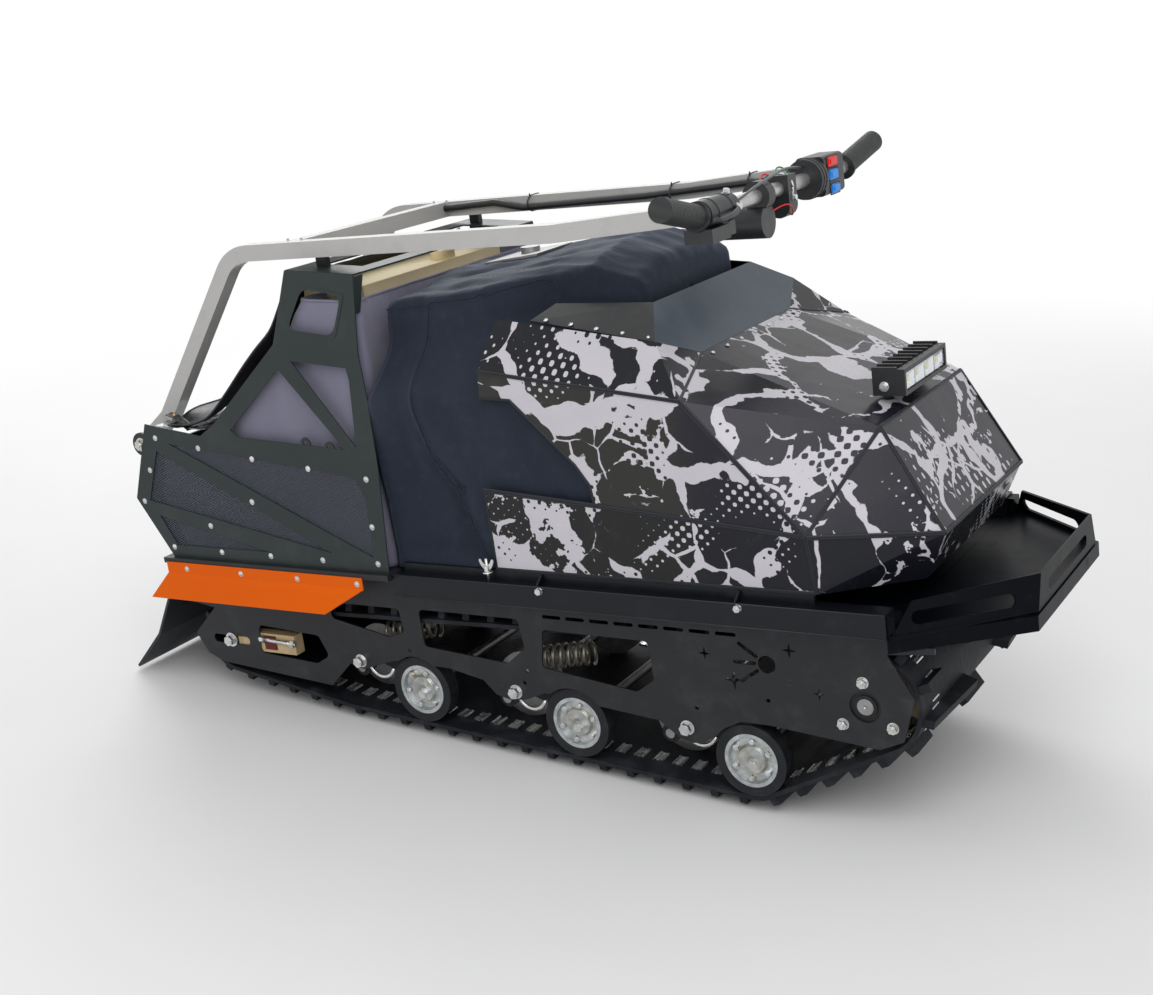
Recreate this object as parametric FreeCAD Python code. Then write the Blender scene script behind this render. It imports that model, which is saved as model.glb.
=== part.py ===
import FreeCAD, Part
import math
import os
from FreeCAD import Vector

# Tracked snow towing vehicle: a walk-behind tracked tug with a faceted sheet-metal hood,
# a fabric engine cover, a rear cage and a fold-over towing handle.
# +X is forward, +Y is to the machine's left, +Z is up, in millimetres.
# The chassis sits nose-up on its track, so chassis pieces are drawn level (X, Y, Z) and then
# turned by BODY_PITCH about the Y axis. The running gear is drawn on level ground.
# Pieces that come in pairs are drawn on the right side, where Y is negative, and mirrored.

BODY_PITCH = 4.5            # nose-up angle of the chassis on its track, degrees
RUN_GAP = 0.3               # gap where two pieces only touch
CUT_OVER = 1.0              # how far a cutting tool runs past the face that it cuts

# ---------------------------------------------------------------- track
TRACK_WIDTH = 500.0
TRACK_CARCASS = 7.0         # rubber belt thickness
TRACK_PITCH = 50.0          # distance between lug rows
LUG_HEIGHT = 24.0
EDGE_LUG_HEIGHT = 15.0
LUG_LENGTH = 13.0
LUG_ROOT = 2.0              # depth that a lug's root sinks into the belt
LUG_DRAFT = 5.0             # how much narrower a lug's crest is at each end
EDGE_MARGIN = 5.0           # from the belt's edge to the edge lugs
EDGE_LUG_WIDTH = 70.0
MIDDLE_LUG_WIDTH = 90.0
SIDE_LUG_INNER_Y = 72.0     # inner end of the lugs that alternate with the middle ones

# ---------------------------------------------------------------- running gear
WHEEL_RADIUS = 59.0
WHEEL_WIDTH = 26.0
WHEEL_STEP = 154.0          # spacing of the six axles
FIRST_AXLE_X = -153.0
AXLE_COUNT = 6
AXLE_RADIUS = 8.0
HUB_RADIUS = 44.0
HUB_RIM = 6.0
HUB_DISH = 7.0
HUB_CROWN_RADIUS = 22.0
HUB_CROWN_DEPTH = 2.0
INNER_ROLLER_FACE_Y = 155.0
BOGIE_THICKNESS = 8.0
BOGIE_GAP = 8.0             # between an outer wheel and its bogie plate
BOGIE_BAR = 32.0            # width of a bogie's arms
BOGIE_PIVOT_Z = 126.0
PIVOT_AHEAD = 34.0          # pivot ahead of the inner axle
STUD_RADIUS = 10.0

IDLER_X = -421.5
IDLER_Z = 112.4
IDLER_RADIUS = 59.0
IDLER_OUTER_Y = 190.0
IDLER_INNER_Y = 80.0
TENSION_BLOCK_LENGTH = 136.0
TENSION_BLOCK_HEIGHT = 36.0
TENSION_BLOCK_DEPTH = 22.0
TENSION_BLOCK_AHEAD = 14.0  # from the idler's axle to its block

DRIVE_X = 803.0
DRIVE_Z = 219.5
DRIVE_SHAFT_RADIUS = 12.5
SHAFT_DIMPLE_RADIUS = 3.0
SPROCKET_TEETH = 10
SPROCKET_WIDTH = 24.0
SPROCKET_Y = 160.0
TOOTH_HEIGHT = 16.0
TOOTH_CREST = 0.17          # half-width of a tooth's crest, as a share of a tooth's turn
TOOTH_ROOT = 0.30
BEARING_CARRIER_RADIUS = 46.0
BEARING_CARRIER_DEPTH = 22.0
BEARING_RING_RADIUS = 17.5
BEARING_RING_WIDTH = 2.5
BEARING_HOLE_RADIUS = 24.0

# ---------------------------------------------------------------- side plates, deck and rails
PLATE_THICKNESS = 3.0
PLATE_GAP = 4.0             # between the track's edge and a side plate
ARCH_CLEARANCE = 4.0        # between a tyre and its arch
DECK_Z = 281.0
DECK_THICKNESS = 3.0
DECK_REAR_X = -470.0
DECK_FRONT_X = 868.0
RAIL_BOTTOM_Z = 275.0
RAIL_TOP_Z = 313.0
RAIL_WIDTH = 34.0
RAIL_WALL = 2.5
RAIL_REAR_X = 16.0
RAIL_FRONT_X = 872.0
LEDGE_THICKNESS = 10.0
LEDGE_WIDTH = 46.0
LEDGE_REAR_X = -498.0
SILL_WIDTH = 7.0
SILL_REAR_X = 30.0
SILL_FRONT_X = 760.0

PLATE_REAR_X = -505.0
PLATE_STEP_X = 10.0         # where the plate's top drops below the rails
# lower edge from the rear beam to the nose, over the bogies' stud bosses
PLATE_LOWER_EDGE = [(-505, 215), (-440, 205), (-499, 151), (-476, 113), (-441, 99), (-187, 79), (-136, 126),
                    (-108, 118), (-36, 141), (80, 139), (147, 125), (169, 102), (198, 95), (230, 100),
                    (265, 115), (367, 104), (475, 93), (507, 68), (530, 62), (550, 66), (614, 108),
                    (663, 108), (835, 91), (873, 108), (893, 175), (856, 240), (927, 247)]
PLATE_NOSE_STEP_X = 878.0   # where the plate's nose drops to pass below the bumper's bar
PLATE_NOSE_TOP_Z = 274.0
PLATE_WINDOWS = [[(-338, 180), (-345, 126), (-213, 118), (-182, 135), (-200, 172)],
                 [(-164, 238), (-160, 208), (-39, 184), (-5, 195), (-10, 238)],
                 [(32, 240), (34, 174), (200, 160), (238, 190), (232, 240)],
                 [(277, 226), (267, 160), (440, 137), (473, 160), (469, 224)]]
PLATE_WINDOW_CORNER = 9.0
PLATE_SLOT_ROW = (280.0, 622.0)
PLATE_SLOT_COUNT = 8
PLATE_SLOT_LAND = 9.0       # metal left between two slots
PLATE_SLOT_Z = 248.5
PLATE_SLOT_HEIGHT = 6.0
PLATE_STARS = [(566, 214, 11), (612, 176, 17), (706, 232, 12), (748, 168, 10)]
STAR_WAIST = 0.27           # a star's inner radius as a share of its outer radius
PORT_CENTRE = (668.0, 206.0)
PORT_RADIUS = 14.0
PORT_RAY_ANGLES = (-35.0, 0.0, 35.0)
PORT_RAY_START = 20.0
PORT_RAY_END = 52.0
PORT_RAY_WIDTH = 6.0
PLATE_HOLES = [(1, 164), (237, 151), (229, 129), (543, 122), (665, 148)]
PLATE_HOLE_RADIUS = 3.5
IDLER_SLOT_REACH = 44.0

# ---------------------------------------------------------------- hood, scoop and lamp
SHEET = 2.0
HOOD_BOTTOM_Z = 328.0
HOOD_OVER_PLATE = 15.0      # from the side plate's outer face to the hood's bottom edge
HOOD_LEAN = 0.12            # outward lean of the hood sides, per unit of height
HOOD_REAR_XZ = (217, 328)
HOOD_CORNER_XZ = (765, 328)
BELT_REAR_XZ = (226, 466)
BELT_NOTCH_XZ = (424, 449)
BELT_CORNER_XZ = (760, 417)
CREASE_REAR_XZ = (262, 660)
CREASE_FRONT_XZ = (597, 616)
NOTCH_XZ = [(256, 618), (310, 615), (361, 560), (403, 514), (422, 482)]
HOOD_NOSE = (892, -175, 328)
BELT_NOSE = (925, -180, 399)
NOSE_TOP = (838, -173, 548)
WING_TOP_REAR_XZ = (264, 726)
WING_TOP_FRONT = (534, -245, 688)
DUCT_FOOT = (562, -159, 653)
DUCT_TOP = (495, -168, 731)
SCOOP_REAR_FOOT = (324, -245, 722)
SCOOP_REAR_TOP = (345, -200, 739)
HOOD_INSIDE = (500, 0, 450)
SCOOP_INSIDE = (400, 0, 690)
SETTLING_ROUNDS = 300       # passes that settle a corner of the sheet's inner face
FLATNESS = 1e-8

LAMP_WIDTH = 176.0
LAMP_DEPTH = 50.0
LAMP_HEIGHT = 42.0
LAMP_LIFT = 7.0             # gap between the hood and the lamp's rear edge
LAMP_OVERHANG = 8.0         # how far the lamp's front stands ahead of the hood's nose edge
LAMP_BEZEL = 12.0
LAMP_RIM = 6.0
LAMP_RECESS = 8.0
LAMP_GLASS = 4.0
LAMP_FOOT_WIDTH = 40.0
LAMP_FOOT_LENGTH = 16.0
LAMP_FOOT_BACK = 10.0
LAMP_FIN = 4.0
LAMP_FIN_HEIGHT = 6.0
LAMP_FIN_COUNT = 9

# ---------------------------------------------------------------- cage and what it holds
CAGE_OVERHANG = 33.0        # from a side plate's outer face to the cage's outer face
CAGE_SHEET = 2.0
CAGE_REAR_LOW = (-480, 313)
CAGE_REAR_BEND = (-547, 420)
CAGE_REAR_HIGH = (-507, 510)
CAGE_FRONT_EDGE = [(-490, 559), (-360, 540), (-324, 561), (-155, 700), (20, 684), (24, 608), (23, 492),
                   (11, 313)]
CAGE_WINDOWS = [[(-155, 659), (-286, 552), (-270, 540), (-39, 524)],
                [(-124, 672), (-10, 660), (-7, 640), (-15, 528)],
                [(-441, 524), (-30, 478), (-12, 440), (-16, 339)],
                [(-474, 510), (-514, 417), (-105, 342)],
                [(-497, 390), (-466, 335), (-246, 335)]]
CAGE_CURLS = [(-122, 533), (-72, 527)]
CAGE_CURL_RADIUS = 10.0
CAGE_CURL_HOLE = 4.0
MESH_OUTLINE = [(-500, 350), (-528, 420), (-480, 535), (0, 480), (0, 325), (-470, 325)]
MESH_THICKNESS = 1.5
CAGE_UPPER_WINDOW = [(-126, 722), (-27, 710), (-8, 774), (-92, 790)]
CAGE_TOP_Y = 265.0
CAGE_TOP_REAR = (-126, 817)
CAGE_TOP_FRONT = (14, 806)
CAGE_TOP_SHEET = 3.0
CAGE_TOP_STRIP = 62.0
CAGE_TOP_END_STRIP = 30.0
CAGE_FLANGE = 24.0
CAGE_FLANGE_DROP = 58.0
CAGE_FLANGE_START = 4.0     # below the top frame's upper face

LINER_OUTLINE = [(-470, 313.3), (-520, 420), (-490, 500), (-330, 545), (-160, 690), (-110, 768), (5, 762),
                 (5, 313.3)]
LINER_SIDE_GAP = 18.0       # between the liner and the cage's panels
LINER_WALL = 8.0
TANK_REAR_X = -290.0
TANK_NECK_X = -150.0
TANK_FRONT_X = -22.0
TANK_HALF_WIDTH = 200.0
TANK_LIFT = 0.3             # above the liner's floor
TANK_SHOULDER_Z = 470.0
TANK_BELOW_TOP = 30.0       # from the top frame's front edge down to the tank's top
TANK_CLEARANCE = 5.0
TANK_CAP = (-48.0, 60.0)
TANK_CAP_RADIUS = 22.0
TANK_CAP_HEIGHT = 16.0

# ---------------------------------------------------------------- engine cover
COVER_BOTTOM_Z = 316.0
COVER_WALL = 10.0
COVER_FOOT_Y = 263.4
COVER_FOOT_SPREAD = 1.6     # drop of the inner skin's foot, per unit of wall
COVER_BELLY = (294, 615)
COVER_ARM = (236, 692)
COVER_RIDGE_Y = 60.0
COVER_RIDGE_DROP = 16.0
# (x, top, shoulder half-width, shoulder height) along the cover
COVER_STATIONS = [(30, 768, 236, 720), (230, 790, 228, 720), (315, 800, 172, 706), (390, 808, 168, 706),
                  (470, 780, 160, 706)]
ENGINE_REAR_X = 90.0
ENGINE_FRONT_X = 420.0
ENGINE_HALF_WIDTH = 150.0
ENGINE_TOP_Z = 640.0
TOP_PLATE = (122.0, 226.0)
TOP_PLATE_HALF_WIDTH = 55.0
TOP_PLATE_THICKNESS = 4.0
TOP_CAP_X = 178.0
TOP_CAP_RADIUS = 16.0
TOP_CAP_HEIGHT = 12.0

# ---------------------------------------------------------------- bumper, fenders and flap
BUMPER_BAND_REAR_X = 878.0
BUMPER_BAND_REAR_Z = 277.0
BUMPER_BAND_TOP_REAR = (900, -260, 326)
BUMPER_BAND_CORNER_LOW = (1042, -152, 281)
BUMPER_BAND_CORNER_TOP = (1042, -134, 332)
BUMPER_SHEET = 4.0
BUMPER_SLOT_REAR_X = 908.0
BUMPER_SLOT_FRONT_X = 1008.0
BUMPER_SLOT_HALF_WIDTH = 92.0
BUMPER_SLOT_HEIGHT = 19.0
BUMPER_BAR_HEIGHT = 23.0
BUMPER_BAR_WIDTH = 22.0
BUMPER_BAR_TOP_Z = 279.0
BUMPER_BAR_BEND = (889, -278)
BUMPER_BAR_CORNER = (1044, -162)
BUMPER_PLUG_REAR_X = 852.0
BUMPER_PLUG_FRONT_X = 884.0
NOSE_PAN_SHEET = 3.0

FENDER_REAR_X = -490.0
FENDER_FRONT_X = -40.0
FENDER_SHEET = 2.0
FENDER_BOTTOM_Z = 284.0
FENDER_TOP_Z = 306.0
FLARE_OUT = 30.0
FLARE_BOTTOM_Z = 248.0
FLARE_REAR_X = -512.0
FLARE_FRONT_X = -107.0

BEAM_REAR_X = -505.0
BEAM_FRONT_X = -471.0
BEAM_BOTTOM_Z = 264.0
BEAM_TOP_Z = 300.0
BEAM_WALL = 3.0
FLAP_THICKNESS = 5.0
FLAP_TOP_Z = 280.0
FLAP_EDGE_GAP = 4.0
FLAP_CURVE = [(-510, 262), (-545, 235), (-563, 214), (-609, 136), (-684, 64)]

TONGUE_REAR_X = -600.0
TONGUE_HALF_WIDTH = 30.0
TONGUE_BOTTOM_Z = 286.0
TONGUE_THICKNESS = 8.0
HITCH_PIN_X = -582.0
HITCH_HOLE_RADIUS = 6.2
HITCH_CORNER = 14.0

# ---------------------------------------------------------------- handle
HANDLE_TUBE = 27.0
HANDLE_WALL = 2.0
HANDLE_Y = 220.0            # centre of an arm
HANDLE_FOOT = (-493.0, 557.0)
HANDLE_KNEE = (-270.0, 842.0)
HANDLE_KINK = (372.0, 848.0)
HANDLE_END = (618.0, 865.0)
HANDLE_BEND_RADIUS = 75.0
HANDLE_CROSS_X = -145.0
HANDLE_PIVOT = (-566.0, 505.0)
PIVOT_BOLT_RADIUS = 6.0
PIVOT_BOLT_FIT = 0.05
FOOT_THICKNESS = 10.0
FOOT_WIDTH = 34.0
EAR_THICKNESS = 6.0
EAR_CLEARANCE = 1.0
EAR_WIDTH = 40.0
EAR_ROOT = (-505.0, 478.0)
PIVOT_WASHER_RADIUS = 22.0
PIVOT_WASHER_THICKNESS = 5.0
BUFFER_REAR_X = -90.0
BUFFER_LENGTH = 20.0
BUFFER_WIDTH = 12.0

BAR_RADIUS = 11.0
BAR_HALF_LENGTH = 372.0
BAR_BEND_FROM_TIP = 110.0   # sideways from the bar's tip to its bend
BAR_BEND_RADIUS = 60.0
BAR_SWEEP = 8.0
BAR_RISE = 26.0
BAR_SEAT = 1.2              # gap between the arms' ends and the bar
GRIP_RADIUS = 17.5
GRIP_LENGTH = 116.0
GRIP_END = 4.0
GRIP_FLANGE_RADIUS = 21.0
GRIP_FLANGE_LENGTH = 6.0

SWITCH_DRUM_Y = 104.0
SWITCH_DRUM_RADIUS = 31.0
SWITCH_DRUM_LENGTH = 26.0
SWITCH_BOX_LENGTH = 76.0
SWITCH_BOX_DEPTH = 48.0
SWITCH_BOX_HEIGHT = 62.0
SWITCH_BOX_CORNER = 8.0
BRAKE_FROM_TIP = 118.0      # sideways from the bar's tip to the brake body
BRAKE_BODY_LENGTH = 88.0
BRAKE_BODY_RADIUS = 21.0
BRAKE_BOX_DEPTH = 44.0
BRAKE_BOX_HEIGHT = 20.0
BRAKE_BOX_DROP = 38.0
BRAKE_BOX_OUT = 8.0         # how far the lower box stands out beyond the body
BRAKE_BOX_WIDTH = 56.0
POD_Y = -60.0
POD_RADIUS = 25.0
POD_BACK = 68.0
POD_FRONT = 12.0
POD_DROP = 38.0
CLAMP_Y = 20.0
CLAMP_WIDTH = 30.0
CLAMP_DEPTH = 36.0
CLAMP_TOP = 20.0
CLAMP_DROP = 44.0
CABLE_RADIUS = 6.0
CABLE_BEND_RADIUS = 30.0
# (x, z) route along the inner face of the left arm
CABLE_ROUTE = [(-20, 851), (42, 839), (290, 845), (500, 857)]
CABLE_START_Z = 846.0
CABLE_END_Y = 190.0

# ---------------------------------------------------------------- sizes that follow from the ones above
PITCH = math.radians(BODY_PITCH)
TRACK_HALF = TRACK_WIDTH / 2
PLATE_INNER_Y = TRACK_HALF + PLATE_GAP
PLATE_OUTER_Y = PLATE_INNER_Y + PLATE_THICKNESS
PLATE_TOP_Z = RAIL_TOP_Z - LEDGE_THICKNESS
AXLE_Z = TRACK_CARCASS + LUG_HEIGHT + WHEEL_RADIUS
AXLES = [FIRST_AXLE_X + i * WHEEL_STEP for i in range(AXLE_COUNT)]
BOGIE_OUTER_Y = TRACK_HALF - WHEEL_WIDTH - BOGIE_GAP
SPROCKET_PITCH_RADIUS = SPROCKET_TEETH * TRACK_PITCH / (2 * math.pi)
DRIVE_BELT_RADIUS = SPROCKET_PITCH_RADIUS - TRACK_CARCASS / 2
CAGE_Y = PLATE_OUTER_Y + CAGE_OVERHANG
CAGE_INNER_Y = CAGE_Y - CAGE_SHEET
HOOD_BOTTOM_Y = PLATE_OUTER_Y + HOOD_OVER_PLATE
LEDGE_OUTER_Y = PLATE_INNER_Y + LEDGE_WIDTH
TANK_TOP_Z = CAGE_TOP_FRONT[1] - TANK_BELOW_TOP
RAIL_OUTER_Y = -PLATE_OUTER_Y - RAIL_WIDTH      # the right rail's outer face
FLAP_FRONT_X = BEAM_REAR_X - FLAP_THICKNESS
BAR_X = HANDLE_END[0] + BAR_SEAT + BAR_RADIUS
BAR_Z = HANDLE_END[1]


# ---------------------------------------------------------------- helpers
def box(x0, x1, y0, y1, z0, z1):
    return Part.makeBox(x1 - x0, y1 - y0, z1 - z0, Vector(x0, y0, z0))


def cylinder_y(x, y0, y1, z, radius):
    return Part.makeCylinder(radius, y1 - y0, Vector(x, y0, z), Vector(0, 1, 0))


def cylinder_z(x, y, z0, z1, radius):
    return Part.makeCylinder(radius, z1 - z0, Vector(x, y, z0))


def polygon(points):
    vectors = [Vector(*point) for point in points]
    return Part.Face(Part.makePolygon(vectors + vectors[:1]))


def prism_y(points, y0, y1):
    """A side-view outline of (x, z) points, from y0 to y1."""
    face = polygon([(x, y0, z) for x, z in points])
    return face.extrude(Vector(0, y1 - y0, 0))


def prism_z(points, z0, z1):
    """A plan outline of (x, y) points, from z0 to z1."""
    face = polygon([(x, y, z0) for x, y in points])
    return face.extrude(Vector(0, 0, z1 - z0))


def mirror(shape):
    return shape.mirror(Vector(0, 0, 0), Vector(0, 1, 0))


def both_sides(shape):
    return [shape, mirror(shape)]


def flip(point):
    return (point[0], -point[1], point[2])


def flipped(facets):
    return [[flip(point) for point in points] for points in facets]


def fuse(shapes):
    return shapes[0].fuse(shapes[1:]).removeSplitter()


def offset_path(points, distance):
    """The polyline moved sideways by a distance, mitred at its corners."""
    normals = []
    for (ax, az), (bx, bz) in zip(points, points[1:]):
        length = math.hypot(bx - ax, bz - az)
        normals.append(((az - bz) / length, (bx - ax) / length))
    normals = normals[:1] + normals + normals[-1:]
    result = []
    for (x, z), (ax, az), (bx, bz) in zip(points, normals, normals[1:]):
        k = distance / (1 + ax * bx + az * bz)
        result.append((x + (ax + bx) * k, z + (az + bz) * k))
    return result


def rounded_outline(points, radii):
    """A side-view face whose corners have the given radii; 0 leaves a corner sharp."""
    vectors = [Vector(x, 0, z) for x, z in points]
    following = vectors[1:] + vectors[:1]
    ends = []
    for i, corner in enumerate(vectors):
        u = (vectors[i - 1] - corner).normalize()
        v = (following[i] - corner).normalize()
        half = math.acos(u.dot(v)) / 2
        reach = radii[i] / math.tan(half)
        middle = corner + (u + v).normalize() * (radii[i] / math.sin(half) - radii[i])
        ends.append((corner + u * reach, middle, corner + v * reach))
    edges = []
    for i, (start, middle, end) in enumerate(ends):
        if radii[i] > 0:
            edges.append(Part.Arc(start, middle, end).toShape())
        edges.append(Part.LineSegment(end, ends[(i + 1) % len(ends)][0]).toShape())
    return Part.Face(Part.Wire(edges))


def rounded_prism_y(points, radius, y0, y1):
    face = rounded_outline(points, [radius] * len(points))
    face.translate(Vector(0, y0, 0))
    return face.extrude(Vector(0, y1 - y0, 0))


def bar_between(start, end, width, y0, y1):
    """A round-ended flat bar in the side view between two (x, z) points."""
    left = offset_path([start, end], width / 2)
    right = offset_path([start, end], -width / 2)
    caps = [cylinder_y(x, y0, y1, z, width / 2) for x, z in (start, end)]
    return fuse([prism_y(left + right[::-1], y0, y1)] + caps)


def plane_y(a, b, c, x, z):
    """The y at which the plane through a, b and c passes over (x, z)."""
    corner = Vector(*a)
    normal = (Vector(*b) - corner).cross(Vector(*c) - corner)
    return corner.y - (normal.x * (x - corner.x) + normal.z * (z - corner.z)) / normal.y


def inward_normal(points, inside):
    """Unit normal of a facet, towards the inside point."""
    vectors = [Vector(*point) for point in points]
    normal = (vectors[1] - vectors[0]).cross(vectors[2] - vectors[0]).normalize()
    return normal if normal.dot(Vector(*inside) - vectors[0]) > 0 else -normal


def sheet_panel(points, thickness, inside):
    """A flat sheet whose outer face holds the points."""
    return polygon(points).extrude(inward_normal(points, inside) * thickness)


def inner_corners(facets, thickness, inside):
    """For each corner, the point that lies a sheet's thickness behind all facets that meet there."""
    meeting = {}
    for points in facets:
        normal = inward_normal(points, inside)
        for point in points:
            meeting.setdefault(point, []).append(normal)
    corners = {}
    for point, normals in meeting.items():
        shift = Vector(0, 0, 0)
        for _ in range(SETTLING_ROUNDS):
            for normal in normals:
                shift = shift + normal * (thickness - normal.dot(shift))
        corners[point] = Vector(*point) + shift
    return corners


def facet_faces(vectors):
    """One face when the corners lie in a plane; otherwise triangles from the first corner."""
    normal = (vectors[1] - vectors[0]).cross(vectors[2] - vectors[0]).normalize()
    if max(abs(normal.dot(v - vectors[0])) for v in vectors) < FLATNESS:
        return [Part.Face(Part.makePolygon(vectors + vectors[:1]))]
    first = vectors[0]
    return [Part.Face(Part.makePolygon([first, b, c, first])) for b, c in zip(vectors[1:], vectors[2:])]


def folded_sheet(facets, corners):
    """A solid sheet bent along the facets' shared edges. Each facet starts at a corner that sees the rest."""
    faces = []
    uses = {}
    for points in facets:
        faces += facet_faces([Vector(*point) for point in points])
        faces += facet_faces([corners[point] for point in points])
        for edge in zip(points, points[1:] + points[:1]):
            uses.setdefault(tuple(sorted(edge)), []).append(edge)
    for (a, b), found in uses.items():
        if len(found) == 1:
            faces += facet_faces([Vector(*a), Vector(*b), corners[b], corners[a]])
    shell = Part.Shell(faces)
    shell.sewShape()
    solid = Part.Solid(shell)
    if solid.Volume < 0:
        solid.reverse()
    return solid


def round_tube(points, radius, bend):
    """A round bar along straight runs joined by tangent arcs."""
    edges = []
    start = points[0]
    for before, corner, after in zip(points, points[1:], points[2:]):
        u = (before - corner).normalize()
        v = (after - corner).normalize()
        half = math.acos(u.dot(v)) / 2
        reach = bend / math.tan(half)
        middle = corner + (u + v).normalize() * (bend / math.sin(half) - bend)
        edges.append(Part.LineSegment(start, corner + u * reach).toShape())
        edges.append(Part.Arc(corner + u * reach, middle, corner + v * reach).toShape())
        start = corner + v * reach
    edges.append(Part.LineSegment(start, points[-1]).toShape())
    profile = Part.Wire(Part.makeCircle(radius, points[0], points[1] - points[0]))
    return Part.Wire(edges).makePipeShell([profile], True, True)


def to_chassis(x, z):
    """Ground-frame (x, z) in the level chassis frame."""
    return (x * math.cos(PITCH) + z * math.sin(PITCH), -x * math.sin(PITCH) + z * math.cos(PITCH))


def pitched(shape):
    turned = shape.copy()
    turned.rotate(Vector(0, 0, 0), Vector(0, 1, 0), -BODY_PITCH)
    return turned


IDLER_C = to_chassis(IDLER_X, IDLER_Z)
DRIVE_C = to_chassis(DRIVE_X, DRIVE_Z)
parts = {}


def store(name, shapes, on_chassis=True):
    """Keep a node: one solid, or several that don't touch."""
    if not isinstance(shapes, list):
        shapes = [shapes]
    if on_chassis:
        shapes = [pitched(shape) for shape in shapes]
    parts[name] = shapes[0] if len(shapes) == 1 else Part.makeCompound(shapes)


# ---------------------------------------------------------------- track
def tangent(circle_a, circle_b):
    """The straight run that leaves circle a and meets circle b, both (x, z, r), as the belt wraps them."""
    ax, az, ra = circle_a
    bx, bz, rb = circle_b
    distance = math.hypot(bx - ax, bz - az)
    angle = math.atan2(bz - az, bx - ax) - math.asin((ra - rb) / distance)
    nx = math.sin(angle)
    nz = -math.cos(angle)
    return Vector(ax + nx * ra, 0, az + nz * ra), Vector(bx + nx * rb, 0, bz + nz * rb)


def belt_wire(offset):
    """The closed loop around idler, outermost road wheels and drive, that far outside their rims."""
    circles = [(IDLER_X, IDLER_Z, IDLER_RADIUS + offset)]
    circles += [(x, AXLE_Z, WHEEL_RADIUS + offset) for x in (AXLES[0], AXLES[-1])]
    circles += [(DRIVE_X, DRIVE_Z, DRIVE_BELT_RADIUS + offset)]
    runs = [tangent(a, b) for a, b in zip(circles, circles[1:] + circles[:1])]
    edges = []
    for i, (start, end) in enumerate(runs):
        edges.append(Part.LineSegment(start, end).toShape())
        cx, cz, r = circles[(i + 1) % len(circles)]
        leaving = runs[(i + 1) % len(runs)][0]
        centre = Vector(cx, 0, cz)
        middle = centre + ((end - centre) + (leaving - centre)).normalize() * r
        if (end - centre).cross(leaving - centre).y > 0:
            middle = centre * 2 - middle
        edges.append(Part.Arc(end, middle, leaving).toShape())
    return Part.Wire(edges)


def belt_stations(wire):
    """(point, direction of travel) of each lug row, evenly spaced around the loop."""
    count = round(wire.Length / TRACK_PITCH)
    stations = []
    for k in range(count):
        along = wire.Length * (k + 0.5) / count
        for edge in wire.Edges:
            if along <= edge.Length:
                parameter = edge.getParameterByLength(along)
                stations.append((edge.valueAt(parameter), edge.tangentAt(parameter).normalize()))
                break
            along -= edge.Length
    return stations


def lug(point, heading, crest):
    """A lug whose (y, height) outline stands on the belt, extruded along the direction of travel."""
    out = Vector(0, 1, 0).cross(heading)
    back = heading * (-LUG_LENGTH / 2)
    corners = [point + back + Vector(0, y, 0) + out * height for y, height in crest]
    face = Part.Face(Part.makePolygon(corners + corners[:1]))
    return face.extrude(heading * LUG_LENGTH)


def lug_outline(y0, y1, height):
    return [(y0, -LUG_ROOT), (y0 + LUG_DRAFT, height), (y1 - LUG_DRAFT, height), (y1, -LUG_ROOT)]


def make_track():
    outer = belt_wire(TRACK_CARCASS)
    rim = Part.Face(outer)
    core = Part.Face(belt_wire(0.0))
    belt = rim.cut(core).extrude(Vector(0, TRACK_WIDTH, 0))
    belt.translate(Vector(0, -TRACK_HALF, 0))
    edge_y = TRACK_HALF - EDGE_MARGIN
    step_y = edge_y - EDGE_LUG_WIDTH
    edge = lug_outline(-edge_y, -step_y, EDGE_LUG_HEIGHT)
    middle = lug_outline(-MIDDLE_LUG_WIDTH / 2, MIDDLE_LUG_WIDTH / 2, LUG_HEIGHT)
    sloped = [(-edge_y, -LUG_ROOT), (-edge_y + LUG_DRAFT, EDGE_LUG_HEIGHT),
              (-SIDE_LUG_INNER_Y - LUG_DRAFT, LUG_HEIGHT), (-SIDE_LUG_INNER_Y, -LUG_ROOT)]
    lugs = []
    for k, (point, heading) in enumerate(belt_stations(outer)):
        if k % 2 == 0:
            lugs += both_sides(lug(point, heading, edge))
            lugs.append(lug(point, heading, middle))
        else:
            lugs += both_sides(lug(point, heading, sloped))
    store("track", belt.fuse(lugs), on_chassis=False)


# ---------------------------------------------------------------- running gear
def turned_part(profile, x, y, z):
    """A part turned about a sideways axis, from (depth towards the middle, radius) points."""
    face = polygon([(x + radius, y + depth, z) for depth, radius in profile])
    return face.revolve(Vector(x, y, z), Vector(0, 1, 0), 360)


def outer_axles():
    return AXLES[1::2]


def inner_axles():
    return AXLES[0::2]


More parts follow.
